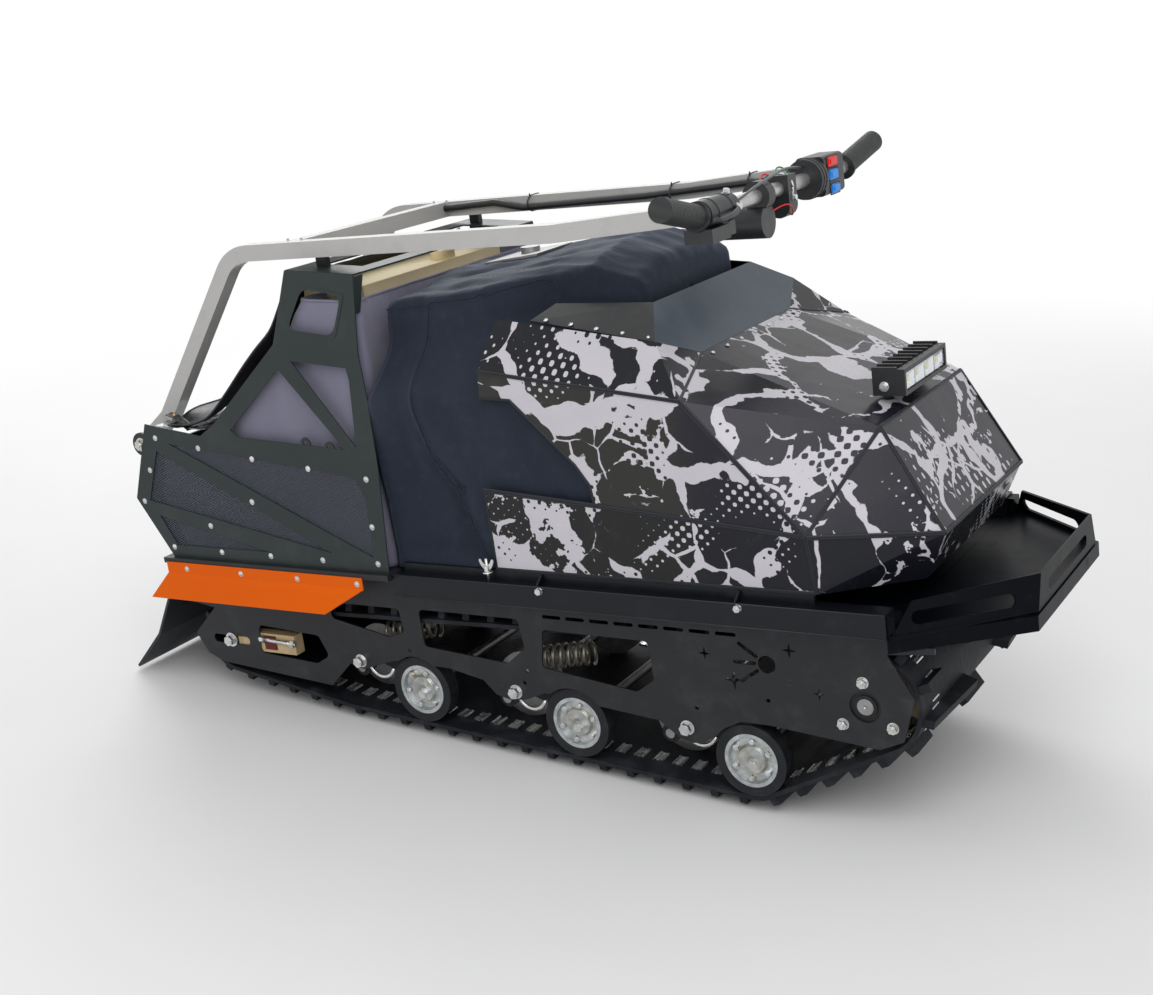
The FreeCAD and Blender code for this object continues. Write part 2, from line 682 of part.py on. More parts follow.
def make_wheels():
    """Three rubber-tyred wheels a side on dished steel hubs."""
    crown = HUB_CROWN_DEPTH
    dish_rim = HUB_RADIUS - HUB_RIM
    hub_profile = [(0, HUB_RADIUS), (0, dish_rim), (HUB_DISH, dish_rim - HUB_RIM / 2),
                   (HUB_DISH, HUB_CROWN_RADIUS + HUB_RIM / 2), (crown, HUB_CROWN_RADIUS),
                   (crown, AXLE_RADIUS), (WHEEL_WIDTH, AXLE_RADIUS), (WHEEL_WIDTH, HUB_RADIUS)]
    tyre_profile = [(0, HUB_RADIUS), (0, WHEEL_RADIUS - RUN_GAP), (WHEEL_WIDTH, WHEEL_RADIUS - RUN_GAP),
                    (WHEEL_WIDTH, HUB_RADIUS)]
    hubs = []
    tyres = []
    for x in outer_axles():
        hubs += both_sides(turned_part(hub_profile, x, -TRACK_HALF, AXLE_Z))
        tyres += both_sides(turned_part(tyre_profile, x, -TRACK_HALF, AXLE_Z))
    store("road_wheel_hubs", hubs, on_chassis=False)
    store("road_wheel_tyres", tyres, on_chassis=False)


def make_axles():
    """Plain axles for the outer wheels; the inner ones are turned in one piece with their two rollers."""
    axles = []
    end = TRACK_HALF - HUB_CROWN_DEPTH
    for x in outer_axles():
        axles.append(cylinder_y(x, -end, end, AXLE_Z, AXLE_RADIUS))
    face = INNER_ROLLER_FACE_Y
    back = face - WHEEL_WIDTH
    tip = BOGIE_OUTER_Y + AXLE_RADIUS / 2
    rim = WHEEL_RADIUS - RUN_GAP
    half = [(-tip, AXLE_RADIUS), (-face, AXLE_RADIUS), (-face, rim), (-back, rim), (-back, AXLE_RADIUS)]
    profile = half + [(-y, radius) for y, radius in reversed(half)] + [(tip, 0), (-tip, 0)]
    for x in inner_axles():
        axles.append(turned_part(profile, x, 0, AXLE_Z))
    store("wheel_axles", axles, on_chassis=False)


def make_suspension():
    """Three bogies a side: each flat plate rocks on a stud in the side plate and carries two axles."""
    bogies = []
    studs = []
    y0 = -BOGIE_OUTER_Y
    y1 = y0 + BOGIE_THICKNESS
    for x_in, x_out in zip(inner_axles(), outer_axles()):
        pivot_x = x_in + PIVOT_AHEAD
        pivot = (pivot_x, BOGIE_PIVOT_Z)
        front = bar_between(pivot, (x_out, AXLE_Z), BOGIE_BAR, y0, y1)
        rear = bar_between(pivot, (x_in, AXLE_Z), BOGIE_BAR, y0, y1)
        bogie = fuse([front, rear])
        for x, z, r in ((pivot_x, BOGIE_PIVOT_Z, STUD_RADIUS), (x_in, AXLE_Z, AXLE_RADIUS),
                        (x_out, AXLE_Z, AXLE_RADIUS)):
            bogie = bogie.cut(cylinder_y(x, y0 - CUT_OVER, y1 + CUT_OVER, z, r))
        bogies += both_sides(bogie)
        studs += both_sides(cylinder_y(pivot_x, -PLATE_INNER_Y, y1, BOGIE_PIVOT_Z, STUD_RADIUS))
    store("bogie_arms", bogies, on_chassis=False)
    store("bogie_studs", studs, on_chassis=False)


def sprocket_outline():
    base = DRIVE_BELT_RADIUS - RUN_GAP
    root = base - TOOTH_HEIGHT
    points = []
    for k in range(SPROCKET_TEETH):
        for offset, radius in ((-TOOTH_ROOT, root), (-TOOTH_CREST, base), (TOOTH_CREST, base),
                               (TOOTH_ROOT, root)):
            angle = 2 * math.pi * (k + offset) / SPROCKET_TEETH
            points.append((DRIVE_X + radius * math.cos(angle), DRIVE_Z + radius * math.sin(angle)))
    return points


def make_drive():
    """The front drive axle: a shaft with centre-drilled ends, and two toothed sprockets."""
    shaft = cylinder_y(DRIVE_X, -PLATE_OUTER_Y, PLATE_OUTER_Y, DRIVE_Z, DRIVE_SHAFT_RADIUS)
    for dimple in both_sides(Part.makeCone(SHAFT_DIMPLE_RADIUS, 0, SHAFT_DIMPLE_RADIUS,
                                           Vector(DRIVE_X, -PLATE_OUTER_Y, DRIVE_Z), Vector(0, 1, 0))):
        shaft = shaft.cut(dimple)
    store("drive_shaft", shaft, on_chassis=False)
    y0 = -SPROCKET_Y - SPROCKET_WIDTH / 2
    y1 = y0 + SPROCKET_WIDTH
    bore = cylinder_y(DRIVE_X, y0 - CUT_OVER, y1 + CUT_OVER, DRIVE_Z, DRIVE_SHAFT_RADIUS)
    store("drive_sprockets", both_sides(prism_y(sprocket_outline(), y0, y1).cut(bore)), on_chassis=False)


def make_bearings():
    """Round bearing carriers bolted inside the side plates, whose collars show in the plates' holes."""
    x, z = DRIVE_C
    bore = DRIVE_SHAFT_RADIUS + RUN_GAP
    depth = BEARING_CARRIER_DEPTH
    ring = BEARING_RING_RADIUS
    collar = [(-BEARING_RING_WIDTH, bore), (-BEARING_RING_WIDTH, ring), (0, ring)]
    carrier = collar + [(0, BEARING_CARRIER_RADIUS), (depth, BEARING_CARRIER_RADIUS), (depth, bore)]
    store("bearing_carriers", both_sides(turned_part(carrier, x, -PLATE_INNER_Y, z)))


def make_idler():
    """The rear idler: two pairs of wheels on an axle held by its tensioner blocks."""
    axle = cylinder_y(IDLER_X, -PLATE_INNER_Y, PLATE_INNER_Y, IDLER_Z, AXLE_RADIUS)
    store("idler_axle", axle, on_chassis=False)
    rim = IDLER_RADIUS - RUN_GAP
    profile = [(0, AXLE_RADIUS), (0, rim), (WHEEL_WIDTH, rim), (WHEEL_WIDTH, AXLE_RADIUS)]
    wheels = []
    for face in (IDLER_OUTER_Y, IDLER_INNER_Y):
        wheels += both_sides(turned_part(profile, IDLER_X, -face, IDLER_Z))
    store("idler_wheels", wheels, on_chassis=False)
    x, z = IDLER_C
    rear_x = x + TENSION_BLOCK_AHEAD
    block = box(rear_x, rear_x + TENSION_BLOCK_LENGTH, -PLATE_INNER_Y, -PLATE_INNER_Y + TENSION_BLOCK_DEPTH,
                z - TENSION_BLOCK_HEIGHT / 2, z + TENSION_BLOCK_HEIGHT / 2)
    store("tension_blocks", both_sides(block))


# ---------------------------------------------------------------- side plates, deck, rails
def star_outline(x, z, reach):
    points = []
    for k in range(8):
        radius = reach if k % 2 == 0 else reach * STAR_WAIST
        points.append((x + radius * math.sin(k * math.pi / 4), z + radius * math.cos(k * math.pi / 4)))
    return points


def plate_cutters(y0, y1):
    """Everything cut through a side plate: windows, arches, slots, stars, the round port and holes."""
    cutters = [rounded_prism_y(window, PLATE_WINDOW_CORNER, y0, y1) for window in PLATE_WINDOWS]
    cutters += [prism_y(star_outline(*star), y0, y1) for star in PLATE_STARS]
    cutters += [cylinder_y(x, y0, y1, z, PLATE_HOLE_RADIUS) for x, z in PLATE_HOLES]
    for x in outer_axles():
        u, w = to_chassis(x, AXLE_Z)
        cutters.append(cylinder_y(u, y0, y1, w, WHEEL_RADIUS + ARCH_CLEARANCE))
    row_start, row_end = PLATE_SLOT_ROW
    step = (row_end - row_start + PLATE_SLOT_LAND) / PLATE_SLOT_COUNT
    for k in range(PLATE_SLOT_COUNT):
        x = row_start + k * step + PLATE_SLOT_HEIGHT / 2
        far = x + step - PLATE_SLOT_LAND - PLATE_SLOT_HEIGHT
        cutters.append(bar_between((x, PLATE_SLOT_Z), (far, PLATE_SLOT_Z), PLATE_SLOT_HEIGHT, y0, y1))
    port_x, port_z = PORT_CENTRE
    cutters.append(cylinder_y(port_x, y0, y1, port_z, PORT_RADIUS))
    for degrees in PORT_RAY_ANGLES:
        dx = -math.cos(math.radians(degrees))
        dz = math.sin(math.radians(degrees))
        start, end = [(port_x + dx * reach, port_z + dz * reach) for reach in (PORT_RAY_START, PORT_RAY_END)]
        cutters.append(bar_between(start, end, PORT_RAY_WIDTH, y0, y1))
    x, z = IDLER_C
    slot_ends = [(x - IDLER_SLOT_REACH + AXLE_RADIUS, z), (x + IDLER_SLOT_REACH - AXLE_RADIUS, z)]
    cutters.append(bar_between(slot_ends[0], slot_ends[1], 2 * AXLE_RADIUS, y0, y1))
    cutters.append(cylinder_y(DRIVE_C[0], y0, y1, DRIVE_C[1], BEARING_HOLE_RADIUS))
    return cutters


def make_side_plates():
    deck_top = DECK_Z + DECK_THICKNESS
    nose_z = BUMPER_BAR_TOP_Z - BUMPER_BAR_HEIGHT - RUN_GAP
    outline = [(PLATE_REAR_X, PLATE_TOP_Z)] + PLATE_LOWER_EDGE
    outline += [(PLATE_LOWER_EDGE[-1][0], nose_z), (PLATE_NOSE_STEP_X, nose_z)]
    outline += [(PLATE_NOSE_STEP_X, PLATE_NOSE_TOP_Z), (DECK_FRONT_X, PLATE_NOSE_TOP_Z)]
    outline += [(DECK_FRONT_X, deck_top), (PLATE_STEP_X, deck_top), (PLATE_STEP_X, PLATE_TOP_Z)]
    plate = prism_y(outline, -PLATE_OUTER_Y, -PLATE_INNER_Y)
    plate = plate.cut(plate_cutters(-PLATE_OUTER_Y - CUT_OVER, -PLATE_INNER_Y + CUT_OVER))
    store("side_plate_right", plate)
    store("side_plate_left", mirror(plate))


def make_deck():
    store("deck_pan", box(DECK_REAR_X, DECK_FRONT_X, -PLATE_INNER_Y, PLATE_INNER_Y,
                          DECK_Z, DECK_Z + DECK_THICKNESS))


def rail_bore(x0, x1, clearance):
    """The space inside the right rail's tube, less a clearance all round."""
    wall = RAIL_WALL + clearance
    return box(x0, x1, RAIL_OUTER_Y + wall, -PLATE_OUTER_Y - wall, RAIL_BOTTOM_Z + wall, RAIL_TOP_Z - wall)


def make_rails():
    tube = box(RAIL_REAR_X, RAIL_FRONT_X, RAIL_OUTER_Y, -PLATE_OUTER_Y, RAIL_BOTTOM_Z, RAIL_TOP_Z)
    tube = tube.cut(rail_bore(RAIL_REAR_X - CUT_OVER, RAIL_FRONT_X + CUT_OVER, 0))
    sill = box(SILL_REAR_X, SILL_FRONT_X, -HOOD_BOTTOM_Y, -HOOD_BOTTOM_Y + SILL_WIDTH,
               RAIL_TOP_Z, HOOD_BOTTOM_Z)
    store("side_rails", both_sides(tube.fuse(sill)))
    ledge = box(LEDGE_REAR_X, RAIL_REAR_X - CUT_OVER, -LEDGE_OUTER_Y, -PLATE_INNER_Y, PLATE_TOP_Z, RAIL_TOP_Z)
    store("cage_ledges", both_sides(ledge))


# ---------------------------------------------------------------- hood, scoop and lamp
def side_point(x, z):
    return (x, -HOOD_BOTTOM_Y - HOOD_LEAN * (z - HOOD_BOTTOM_Z), z)


def make_hood():
    """Two folded sheets that meet along the belt line: a lower band and the upper hood with its wings."""
    rear = side_point(*HOOD_REAR_XZ)
    corner = side_point(*HOOD_CORNER_XZ)
    belt_rear = side_point(*BELT_REAR_XZ)
    belt_notch = side_point(*BELT_NOTCH_XZ)
    belt_corner = side_point(*BELT_CORNER_XZ)
    crease_rear = side_point(*CREASE_REAR_XZ)
    crease_front = side_point(*CREASE_FRONT_XZ)
    notch = [side_point(x, z) for x, z in NOTCH_XZ]
    wing_x, wing_z = WING_TOP_REAR_XZ
    wing_rear = (wing_x, plane_y(crease_rear, crease_front, WING_TOP_FRONT, wing_x, wing_z), wing_z)
    lower = [[rear, corner, belt_corner, belt_notch], [rear, belt_notch, belt_rear],
             [corner, HOOD_NOSE, BELT_NOSE], [corner, BELT_NOSE, belt_corner]]
    lower += flipped(lower) + [[HOOD_NOSE, BELT_NOSE, flip(BELT_NOSE), flip(HOOD_NOSE)]]
    upper = [[crease_front, crease_rear] + notch + [belt_notch, belt_corner],
             [crease_rear, crease_front, WING_TOP_FRONT, wing_rear],
             [belt_corner, BELT_NOSE, NOSE_TOP], [belt_corner, NOSE_TOP, crease_front],
             [crease_front, WING_TOP_FRONT, DUCT_FOOT], [crease_front, DUCT_FOOT, NOSE_TOP]]
    upper += flipped(upper) + [[DUCT_FOOT, NOSE_TOP, flip(NOSE_TOP), flip(DUCT_FOOT)],
                               [NOSE_TOP, BELT_NOSE, flip(BELT_NOSE), flip(NOSE_TOP)]]
    corners = inner_corners(lower + upper, SHEET, HOOD_INSIDE)
    store("hood_lower", folded_sheet(lower, corners))
    hood_upper = folded_sheet(upper, corners)
    store("hood_upper", hood_upper)
    return hood_upper


def make_scoop(hood_upper):
    """A forward-facing plate on the hood with a sheet each side, open at the back."""
    facets = [[WING_TOP_FRONT, DUCT_FOOT, DUCT_TOP], [SCOOP_REAR_FOOT, WING_TOP_FRONT, DUCT_TOP],
              [SCOOP_REAR_FOOT, DUCT_TOP, SCOOP_REAR_TOP]]
    facets += flipped(facets) + [[DUCT_FOOT, DUCT_TOP, flip(DUCT_TOP), flip(DUCT_FOOT)]]
    corners = inner_corners(facets, SHEET, SCOOP_INSIDE)
    scoop = folded_sheet(facets, corners)
    scoop.translate(Vector(0, 0, RUN_GAP))
    store("air_scoop", scoop.cut(hood_upper))


def hood_top_z(x):
    slope = (NOSE_TOP[2] - DUCT_FOOT[2]) / (NOSE_TOP[0] - DUCT_FOOT[0])
    return DUCT_FOOT[2] + slope * (x - DUCT_FOOT[0])


def make_lamp():
    """A bar lamp with cooling fins on its top, on a foot that stands on the hood's nose."""
    half = LAMP_WIDTH / 2
    front = NOSE_TOP[0] + LAMP_OVERHANG
    rear = front - LAMP_DEPTH
    bottom = hood_top_z(rear) + LAMP_LIFT
    top = bottom + LAMP_HEIGHT
    body = box(rear, front - LAMP_BEZEL, -half, half, bottom, top - LAMP_FIN_HEIGHT)
    bezel = box(front - LAMP_BEZEL, front, -half, half, bottom, top - LAMP_FIN_HEIGHT / 2)
    inner = half - LAMP_RIM
    glass_bottom = bottom + LAMP_RIM
    glass_top = top - LAMP_FIN_HEIGHT / 2 - LAMP_RIM
    recess = box(front - LAMP_RECESS, front + CUT_OVER, -inner, inner, glass_bottom, glass_top)
    fin_step = (LAMP_WIDTH - LAMP_FIN) / (LAMP_FIN_COUNT - 1)
    fins = []
    for k in range(LAMP_FIN_COUNT):
        y = -half + k * fin_step
        fins.append(box(rear, front - LAMP_BEZEL, y, y + LAMP_FIN, top - LAMP_FIN_HEIGHT, top))
    foot_x = rear + LAMP_FOOT_BACK
    foot_front = foot_x + LAMP_FOOT_LENGTH
    foot = prism_y([(foot_x, bottom), (foot_front, bottom), (foot_front, hood_top_z(foot_front) + RUN_GAP),
                    (foot_x, hood_top_z(foot_x) + RUN_GAP)], -LAMP_FOOT_WIDTH / 2, LAMP_FOOT_WIDTH / 2)
    store("lamp_housing", fuse([body, bezel, foot] + fins).cut(recess))
    glass_x = front - LAMP_RECESS
    store("lamp_lens", box(glass_x, glass_x + LAMP_GLASS, -inner, inner, glass_bottom, glass_top))


# ---------------------------------------------------------------- cage at the rear
def make_cage():
    """Folded side panels with windows, fine mesh behind them, a rear panel and a flat frame on top."""
    y0 = -CAGE_Y
    y1 = -CAGE_INNER_Y
    side = prism_y([CAGE_REAR_LOW, CAGE_REAR_BEND] + CAGE_FRONT_EDGE, y0, y1)
    side = side.cut([prism_y(window, y0 - CUT_OVER, y1 + CUT_OVER) for window in CAGE_WINDOWS])
    curls = [cylinder_y(x, y0, y1, z, CAGE_CURL_RADIUS).cut(
        cylinder_y(x, y0 - CUT_OVER, y1 + CUT_OVER, z, CAGE_CURL_HOLE)) for x, z in CAGE_CURLS]
    fold = [(x, y0, z) for x, z in (CAGE_FRONT_EDGE[3], CAGE_FRONT_EDGE[4])]
    top_front = (CAGE_TOP_FRONT[0], -CAGE_TOP_Y, CAGE_TOP_FRONT[1])
    plane = fold + [top_front]
    top_rear = (CAGE_TOP_REAR[0], plane_y(*plane, *CAGE_TOP_REAR), CAGE_TOP_REAR[1])
    inside = (0, 0, 0)
    upper = sheet_panel(plane + [top_rear], CAGE_SHEET, inside)
    outward = inward_normal(plane, inside) * -CUT_OVER
    opening = polygon([(x, plane_y(*plane, x, z), z) for x, z in CAGE_UPPER_WINDOW])
    opening.translate(outward)
    upper = upper.cut(opening.extrude(outward * -(CAGE_SHEET + 2 * CUT_OVER)))
    down = (Vector(*fold[1]) - Vector(*top_front)).normalize()
    corner = Vector(*top_front) + inward_normal(plane, inside) * CAGE_SHEET + down * CAGE_FLANGE_START
    down = down * CAGE_FLANGE_DROP
    inward = Vector(0, CAGE_FLANGE, 0)
    flange = polygon([corner, corner + down, corner + down + inward / 2, corner + inward])
    side = fuse([side, upper, flange.extrude(Vector(-CAGE_SHEET, 0, 0))] + curls)
    store("cage_panel_right", side)
    store("cage_panel_left", mirror(side))
    store("mesh_sheets", both_sides(prism_y(MESH_OUTLINE, y1, y1 + MESH_THICKNESS)))
    outside = [CAGE_REAR_LOW, CAGE_REAR_BEND, CAGE_REAR_HIGH]
    rear = outside + offset_path(outside, -CAGE_SHEET)[::-1]
    store("rear_panel", prism_y(rear, -CAGE_INNER_Y, CAGE_INNER_Y))
    half = CAGE_TOP_Y - CAGE_SHEET - RUN_GAP
    (rear_x, rear_z), (front_x, front_z) = CAGE_TOP_REAR, CAGE_TOP_FRONT
    sheet = prism_y([(rear_x, rear_z), (front_x, front_z), (front_x, front_z - CAGE_TOP_SHEET),
                     (rear_x, rear_z - CAGE_TOP_SHEET)], -half, half)
    opening = box(rear_x + CAGE_TOP_END_STRIP, front_x - CAGE_TOP_END_STRIP, -half + CAGE_TOP_STRIP,
                  half - CAGE_TOP_STRIP, front_z - 2 * CAGE_TOP_SHEET, rear_z + CUT_OVER)
    store("cage_top", sheet.cut(opening))


def make_bay():
    """What fills the cage: a closed fabric liner around the fuel tank, whose neck stands out at the top."""
    half = CAGE_INNER_Y - LINER_SIDE_GAP
    outer = prism_y(LINER_OUTLINE, -half, half)
    inner = prism_y(inset_outline(LINER_OUTLINE, LINER_WALL), -half + LINER_WALL, half - LINER_WALL)
    gap = TANK_CLEARANCE
    neck = box(TANK_NECK_X - gap, TANK_FRONT_X + gap, -TANK_HALF_WIDTH - gap, TANK_HALF_WIDTH + gap,
               TANK_SHOULDER_Z, TANK_TOP_Z + LINER_WALL)
    store("bay_liner", outer.cut([inner, neck]))
    floor = LINER_OUTLINE[0][1] + LINER_WALL + TANK_LIFT
    tank = prism_y([(TANK_REAR_X, floor), (TANK_REAR_X, TANK_SHOULDER_Z), (TANK_NECK_X, TANK_SHOULDER_Z),
                    (TANK_NECK_X, TANK_TOP_Z), (TANK_FRONT_X, TANK_TOP_Z), (TANK_FRONT_X, floor)],
                   -TANK_HALF_WIDTH, TANK_HALF_WIDTH)
    cap_x, cap_y = TANK_CAP
    cap = cylinder_z(cap_x, cap_y, TANK_TOP_Z, TANK_TOP_Z + TANK_CAP_HEIGHT, TANK_CAP_RADIUS)
    store("fuel_tank", tank.fuse(cap))


def inset_outline(points, distance):
    """A closed outline of (x, z) points moved inwards; the points run clockwise."""
    ring = points[-1:] + points + points[:1]
    return offset_path(ring, -distance)[1:-1]


# ---------------------------------------------------------------- engine and its fabric cover
def cover_section(station, inset):
    """The cover's cross-section at (x, top, shoulder half-width, shoulder height), inset on all sides."""
    x, top, shoulder, shoulder_z = station
    belly_y, belly_z = COVER_BELLY
    arm_y, arm_z = COVER_ARM
    half = [(-COVER_FOOT_Y + inset, COVER_BOTTOM_Z - COVER_FOOT_SPREAD * inset), (-belly_y + inset, belly_z),
            (-arm_y + inset, arm_z - inset / 2), (-shoulder + inset, shoulder_z - inset / 2),
            (-shoulder + inset + 6, top - COVER_RIDGE_DROP - inset), (-COVER_RIDGE_Y, top - inset)]
    points = [Vector(x, y, z) for y, z in half] + [Vector(x, -y, z) for y, z in reversed(half)]
    return Part.makePolygon(points + points[:1])


def make_cover():
    outer = Part.makeLoft([cover_section(station, 0) for station in COVER_STATIONS], True, True)
    stations = list(COVER_STATIONS)
    stations[0] = (stations[0][0] + COVER_WALL,) + stations[0][1:]
    stations[-1] = (stations[-1][0] - COVER_WALL,) + stations[-1][1:]
    inner = Part.makeLoft([cover_section(station, COVER_WALL) for station in stations], True, True)
    store("engine_cover", outer.cut(inner))
    store("engine_block", box(ENGINE_REAR_X, ENGINE_FRONT_X, -ENGINE_HALF_WIDTH, ENGINE_HALF_WIDTH,
                              DECK_Z + DECK_THICKNESS, ENGINE_TOP_Z))


def cover_top_z(x):
    (x0, top0), (x1, top1) = COVER_STATIONS[0][:2], COVER_STATIONS[1][:2]
    return top0 + (top1 - top0) * (x - x0) / (x1 - x0)


def make_top_plate():
    """A small steel plate with a round cap that lies on the cover's ridge."""
    rear, front = TOP_PLATE
    seat = [(x, cover_top_z(x) + RUN_GAP) for x in (rear, front)]
    upper = [(x, z + TOP_PLATE_THICKNESS) for x, z in seat]
    plate = prism_y(seat + upper[::-1], -TOP_PLATE_HALF_WIDTH, TOP_PLATE_HALF_WIDTH)
    foot = cover_top_z(TOP_CAP_X) + TOP_PLATE_THICKNESS / 2
    store("top_plate", plate.fuse(cylinder_z(TOP_CAP_X, 0, foot, foot + TOP_CAP_HEIGHT, TOP_CAP_RADIUS)))


# ---------------------------------------------------------------- bumper, fenders, flap and hitch
def slot_cutter(start, end, normal, height, depth):
    """A round-ended cutter between two points of a sheet, as deep as given each way."""
    along = (end - start).normalize()
    across = normal.cross(along).normalize() * (height / 2)
    base = normal * -depth
    face = Part.Face(Part.makePolygon([start + across + base, end + across + base, end - across + base,
                                       start - across + base, start + across + base]))
    ends = [Part.makeCylinder(height / 2, 2 * depth, point + base, normal) for point in (start, end)]
    return face.extrude(normal * (2 * depth)).fuse(ends)


def make_bumper():
    """A leaning slotted band, a tube bent along its foot, a pan inside it, and plugs into the rails."""
    low = BUMPER_BAND_CORNER_LOW
    top = BUMPER_BAND_CORNER_TOP
    top_rear = BUMPER_BAND_TOP_REAR
    low_rear_y = plane_y(low, top, top_rear, BUMPER_BAND_REAR_X, BUMPER_BAND_REAR_Z)
    low_rear = (BUMPER_BAND_REAR_X, low_rear_y, BUMPER_BAND_REAR_Z)
    arm = [low_rear, low, top, top_rear]
    facets = [arm] + flipped([arm]) + [[low, top, flip(top), flip(low)]]
    inside = (BUMPER_BAND_REAR_X, 0, RAIL_BOTTOM_Z)
    band = folded_sheet(facets, inner_corners(facets, BUMPER_SHEET, inside))
    middle_z = (low[2] + top[2]) / 2 - BUMPER_SHEET
    ends = [Vector(x, plane_y(low, top, top_rear, x, middle_z), middle_z)
            for x in (BUMPER_SLOT_REAR_X, BUMPER_SLOT_FRONT_X)]
    arm_slot = slot_cutter(ends[0], ends[1], inward_normal(arm, inside), BUMPER_SLOT_HEIGHT, 4 * BUMPER_SHEET)
    half = BUMPER_SLOT_HALF_WIDTH
    front_slot = slot_cutter(Vector(low[0], -half, middle_z), Vector(low[0], half, middle_z), Vector(1, 0, 0),
                             BUMPER_SLOT_HEIGHT, 4 * BUMPER_SHEET)
    band = band.cut(both_sides(arm_slot) + [front_slot])
    rail_end = RAIL_FRONT_X + RUN_GAP
    outline = [(rail_end, RAIL_OUTER_Y), BUMPER_BAR_BEND, BUMPER_BAR_CORNER]
    outline += [(x, -y) for x, y in reversed(outline)]
    ring = outline + offset_path(outline, BUMPER_BAR_WIDTH)[::-1]
    bar_bottom_z = BUMPER_BAR_TOP_Z - BUMPER_BAR_HEIGHT
    bar = prism_z(ring, bar_bottom_z, BUMPER_BAR_TOP_Z)
    bar = bar.cut(box(BUMPER_PLUG_REAR_X, rail_end, RAIL_OUTER_Y, -RAIL_OUTER_Y,
                      bar_bottom_z, BUMPER_BAR_TOP_Z))
    inner_low = (low[0] - BUMPER_SHEET / 2, low[1])
    pan_rear = DECK_FRONT_X + RUN_GAP
    pan_y = -PLATE_INNER_Y + RUN_GAP
    pan_outline = [(pan_rear, pan_y), (rail_end, pan_y), (BUMPER_BAND_REAR_X, low_rear[1]), inner_low]
    pan_outline += [(x, -y) for x, y in reversed(pan_outline)]
    pan_z = low_rear[2] + BUMPER_SHEET
    pan = prism_z(pan_outline, pan_z, pan_z + NOSE_PAN_SHEET)
    plug = rail_bore(BUMPER_PLUG_REAR_X, BUMPER_PLUG_FRONT_X, RUN_GAP)
    store("front_bumper", fuse([band, bar, pan] + both_sides(plug)))


def make_fenders():
    """Orange sheet fenders: a flange on the cage's ledge and a flare that leans out over the track."""
    outer = -LEDGE_OUTER_Y - RUN_GAP - FENDER_SHEET
    bottom = FENDER_BOTTOM_Z + FENDER_SHEET
    flange = box(FENDER_REAR_X, FENDER_FRONT_X, outer, outer + FENDER_SHEET, FENDER_BOTTOM_Z, FENDER_TOP_Z)
    flare = sheet_panel([(FENDER_REAR_X, outer, bottom), (FLARE_REAR_X, outer - FLARE_OUT, FLARE_BOTTOM_Z),
                         (FLARE_FRONT_X, outer - FLARE_OUT, FLARE_BOTTOM_Z), (FENDER_FRONT_X, outer, bottom)],
                        FENDER_SHEET, (0, 0, 0))
    store("rear_fenders", both_sides(fuse([flange, flare])))


def make_flap():
    """The rear cross beam, and the rubber flap that hangs from its back."""
    beam = box(BEAM_REAR_X, BEAM_FRONT_X, -PLATE_INNER_Y, PLATE_INNER_Y, BEAM_BOTTOM_Z, BEAM_TOP_Z)
    bore = box(BEAM_REAR_X + BEAM_WALL, BEAM_FRONT_X - BEAM_WALL, -PLATE_INNER_Y - CUT_OVER,
               PLATE_INNER_Y + CUT_OVER, BEAM_BOTTOM_Z + BEAM_WALL, BEAM_TOP_Z - BEAM_WALL)
    store("rear_beam", beam.cut(bore))
    curve = [(FLAP_FRONT_X, FLAP_TOP_Z)] + FLAP_CURVE
    strip = curve + offset_path(curve, FLAP_THICKNESS)[::-1]
    half = PLATE_INNER_Y - FLAP_EDGE_GAP
    store("mud_flap", prism_y(strip, -half, half))


def make_hitch():
    """A drilled tongue with cut corners that stands out behind the rear beam."""
    rear = TONGUE_REAR_X
    half = TONGUE_HALF_WIDTH
    outline = [(BEAM_REAR_X, -half), (rear + HITCH_CORNER, -half), (rear, -half + HITCH_CORNER),
               (rear, half - HITCH_CORNER), (rear + HITCH_CORNER, half), (BEAM_REAR_X, half)]
    tongue_top_z = TONGUE_BOTTOM_Z + TONGUE_THICKNESS
    tongue = prism_z(outline, TONGUE_BOTTOM_Z, tongue_top_z)
    hole = cylinder_z(HITCH_PIN_X, 0, TONGUE_BOTTOM_Z - CUT_OVER, tongue_top_z + CUT_OVER, HITCH_HOLE_RADIUS)
    store("tow_hitch", tongue.cut(hole))


# ---------------------------------------------------------------- handle
def arm_strip(half):
    """The side view of an arm, that far each way from its centre line, with bent corners."""
    path = [HANDLE_FOOT, HANDLE_KNEE, HANDLE_KINK, HANDLE_END]
    outline = offset_path(path, half) + offset_path(path, -half)[::-1]
    r = HANDLE_BEND_RADIUS
    return rounded_outline(outline, [0, r + half, r - half, 0, 0, r + half, r - half, 0])


def handle_arm():
    half = HANDLE_TUBE / 2
    outer = arm_strip(half).extrude(Vector(0, HANDLE_TUBE, 0))
    inner = arm_strip(half - HANDLE_WALL).extrude(Vector(0, HANDLE_TUBE - 2 * HANDLE_WALL, 0))
    inner.translate(Vector(0, HANDLE_WALL, 0))
    arm = outer.cut(inner)
    arm.translate(Vector(0, -HANDLE_Y - half, 0))
    return arm


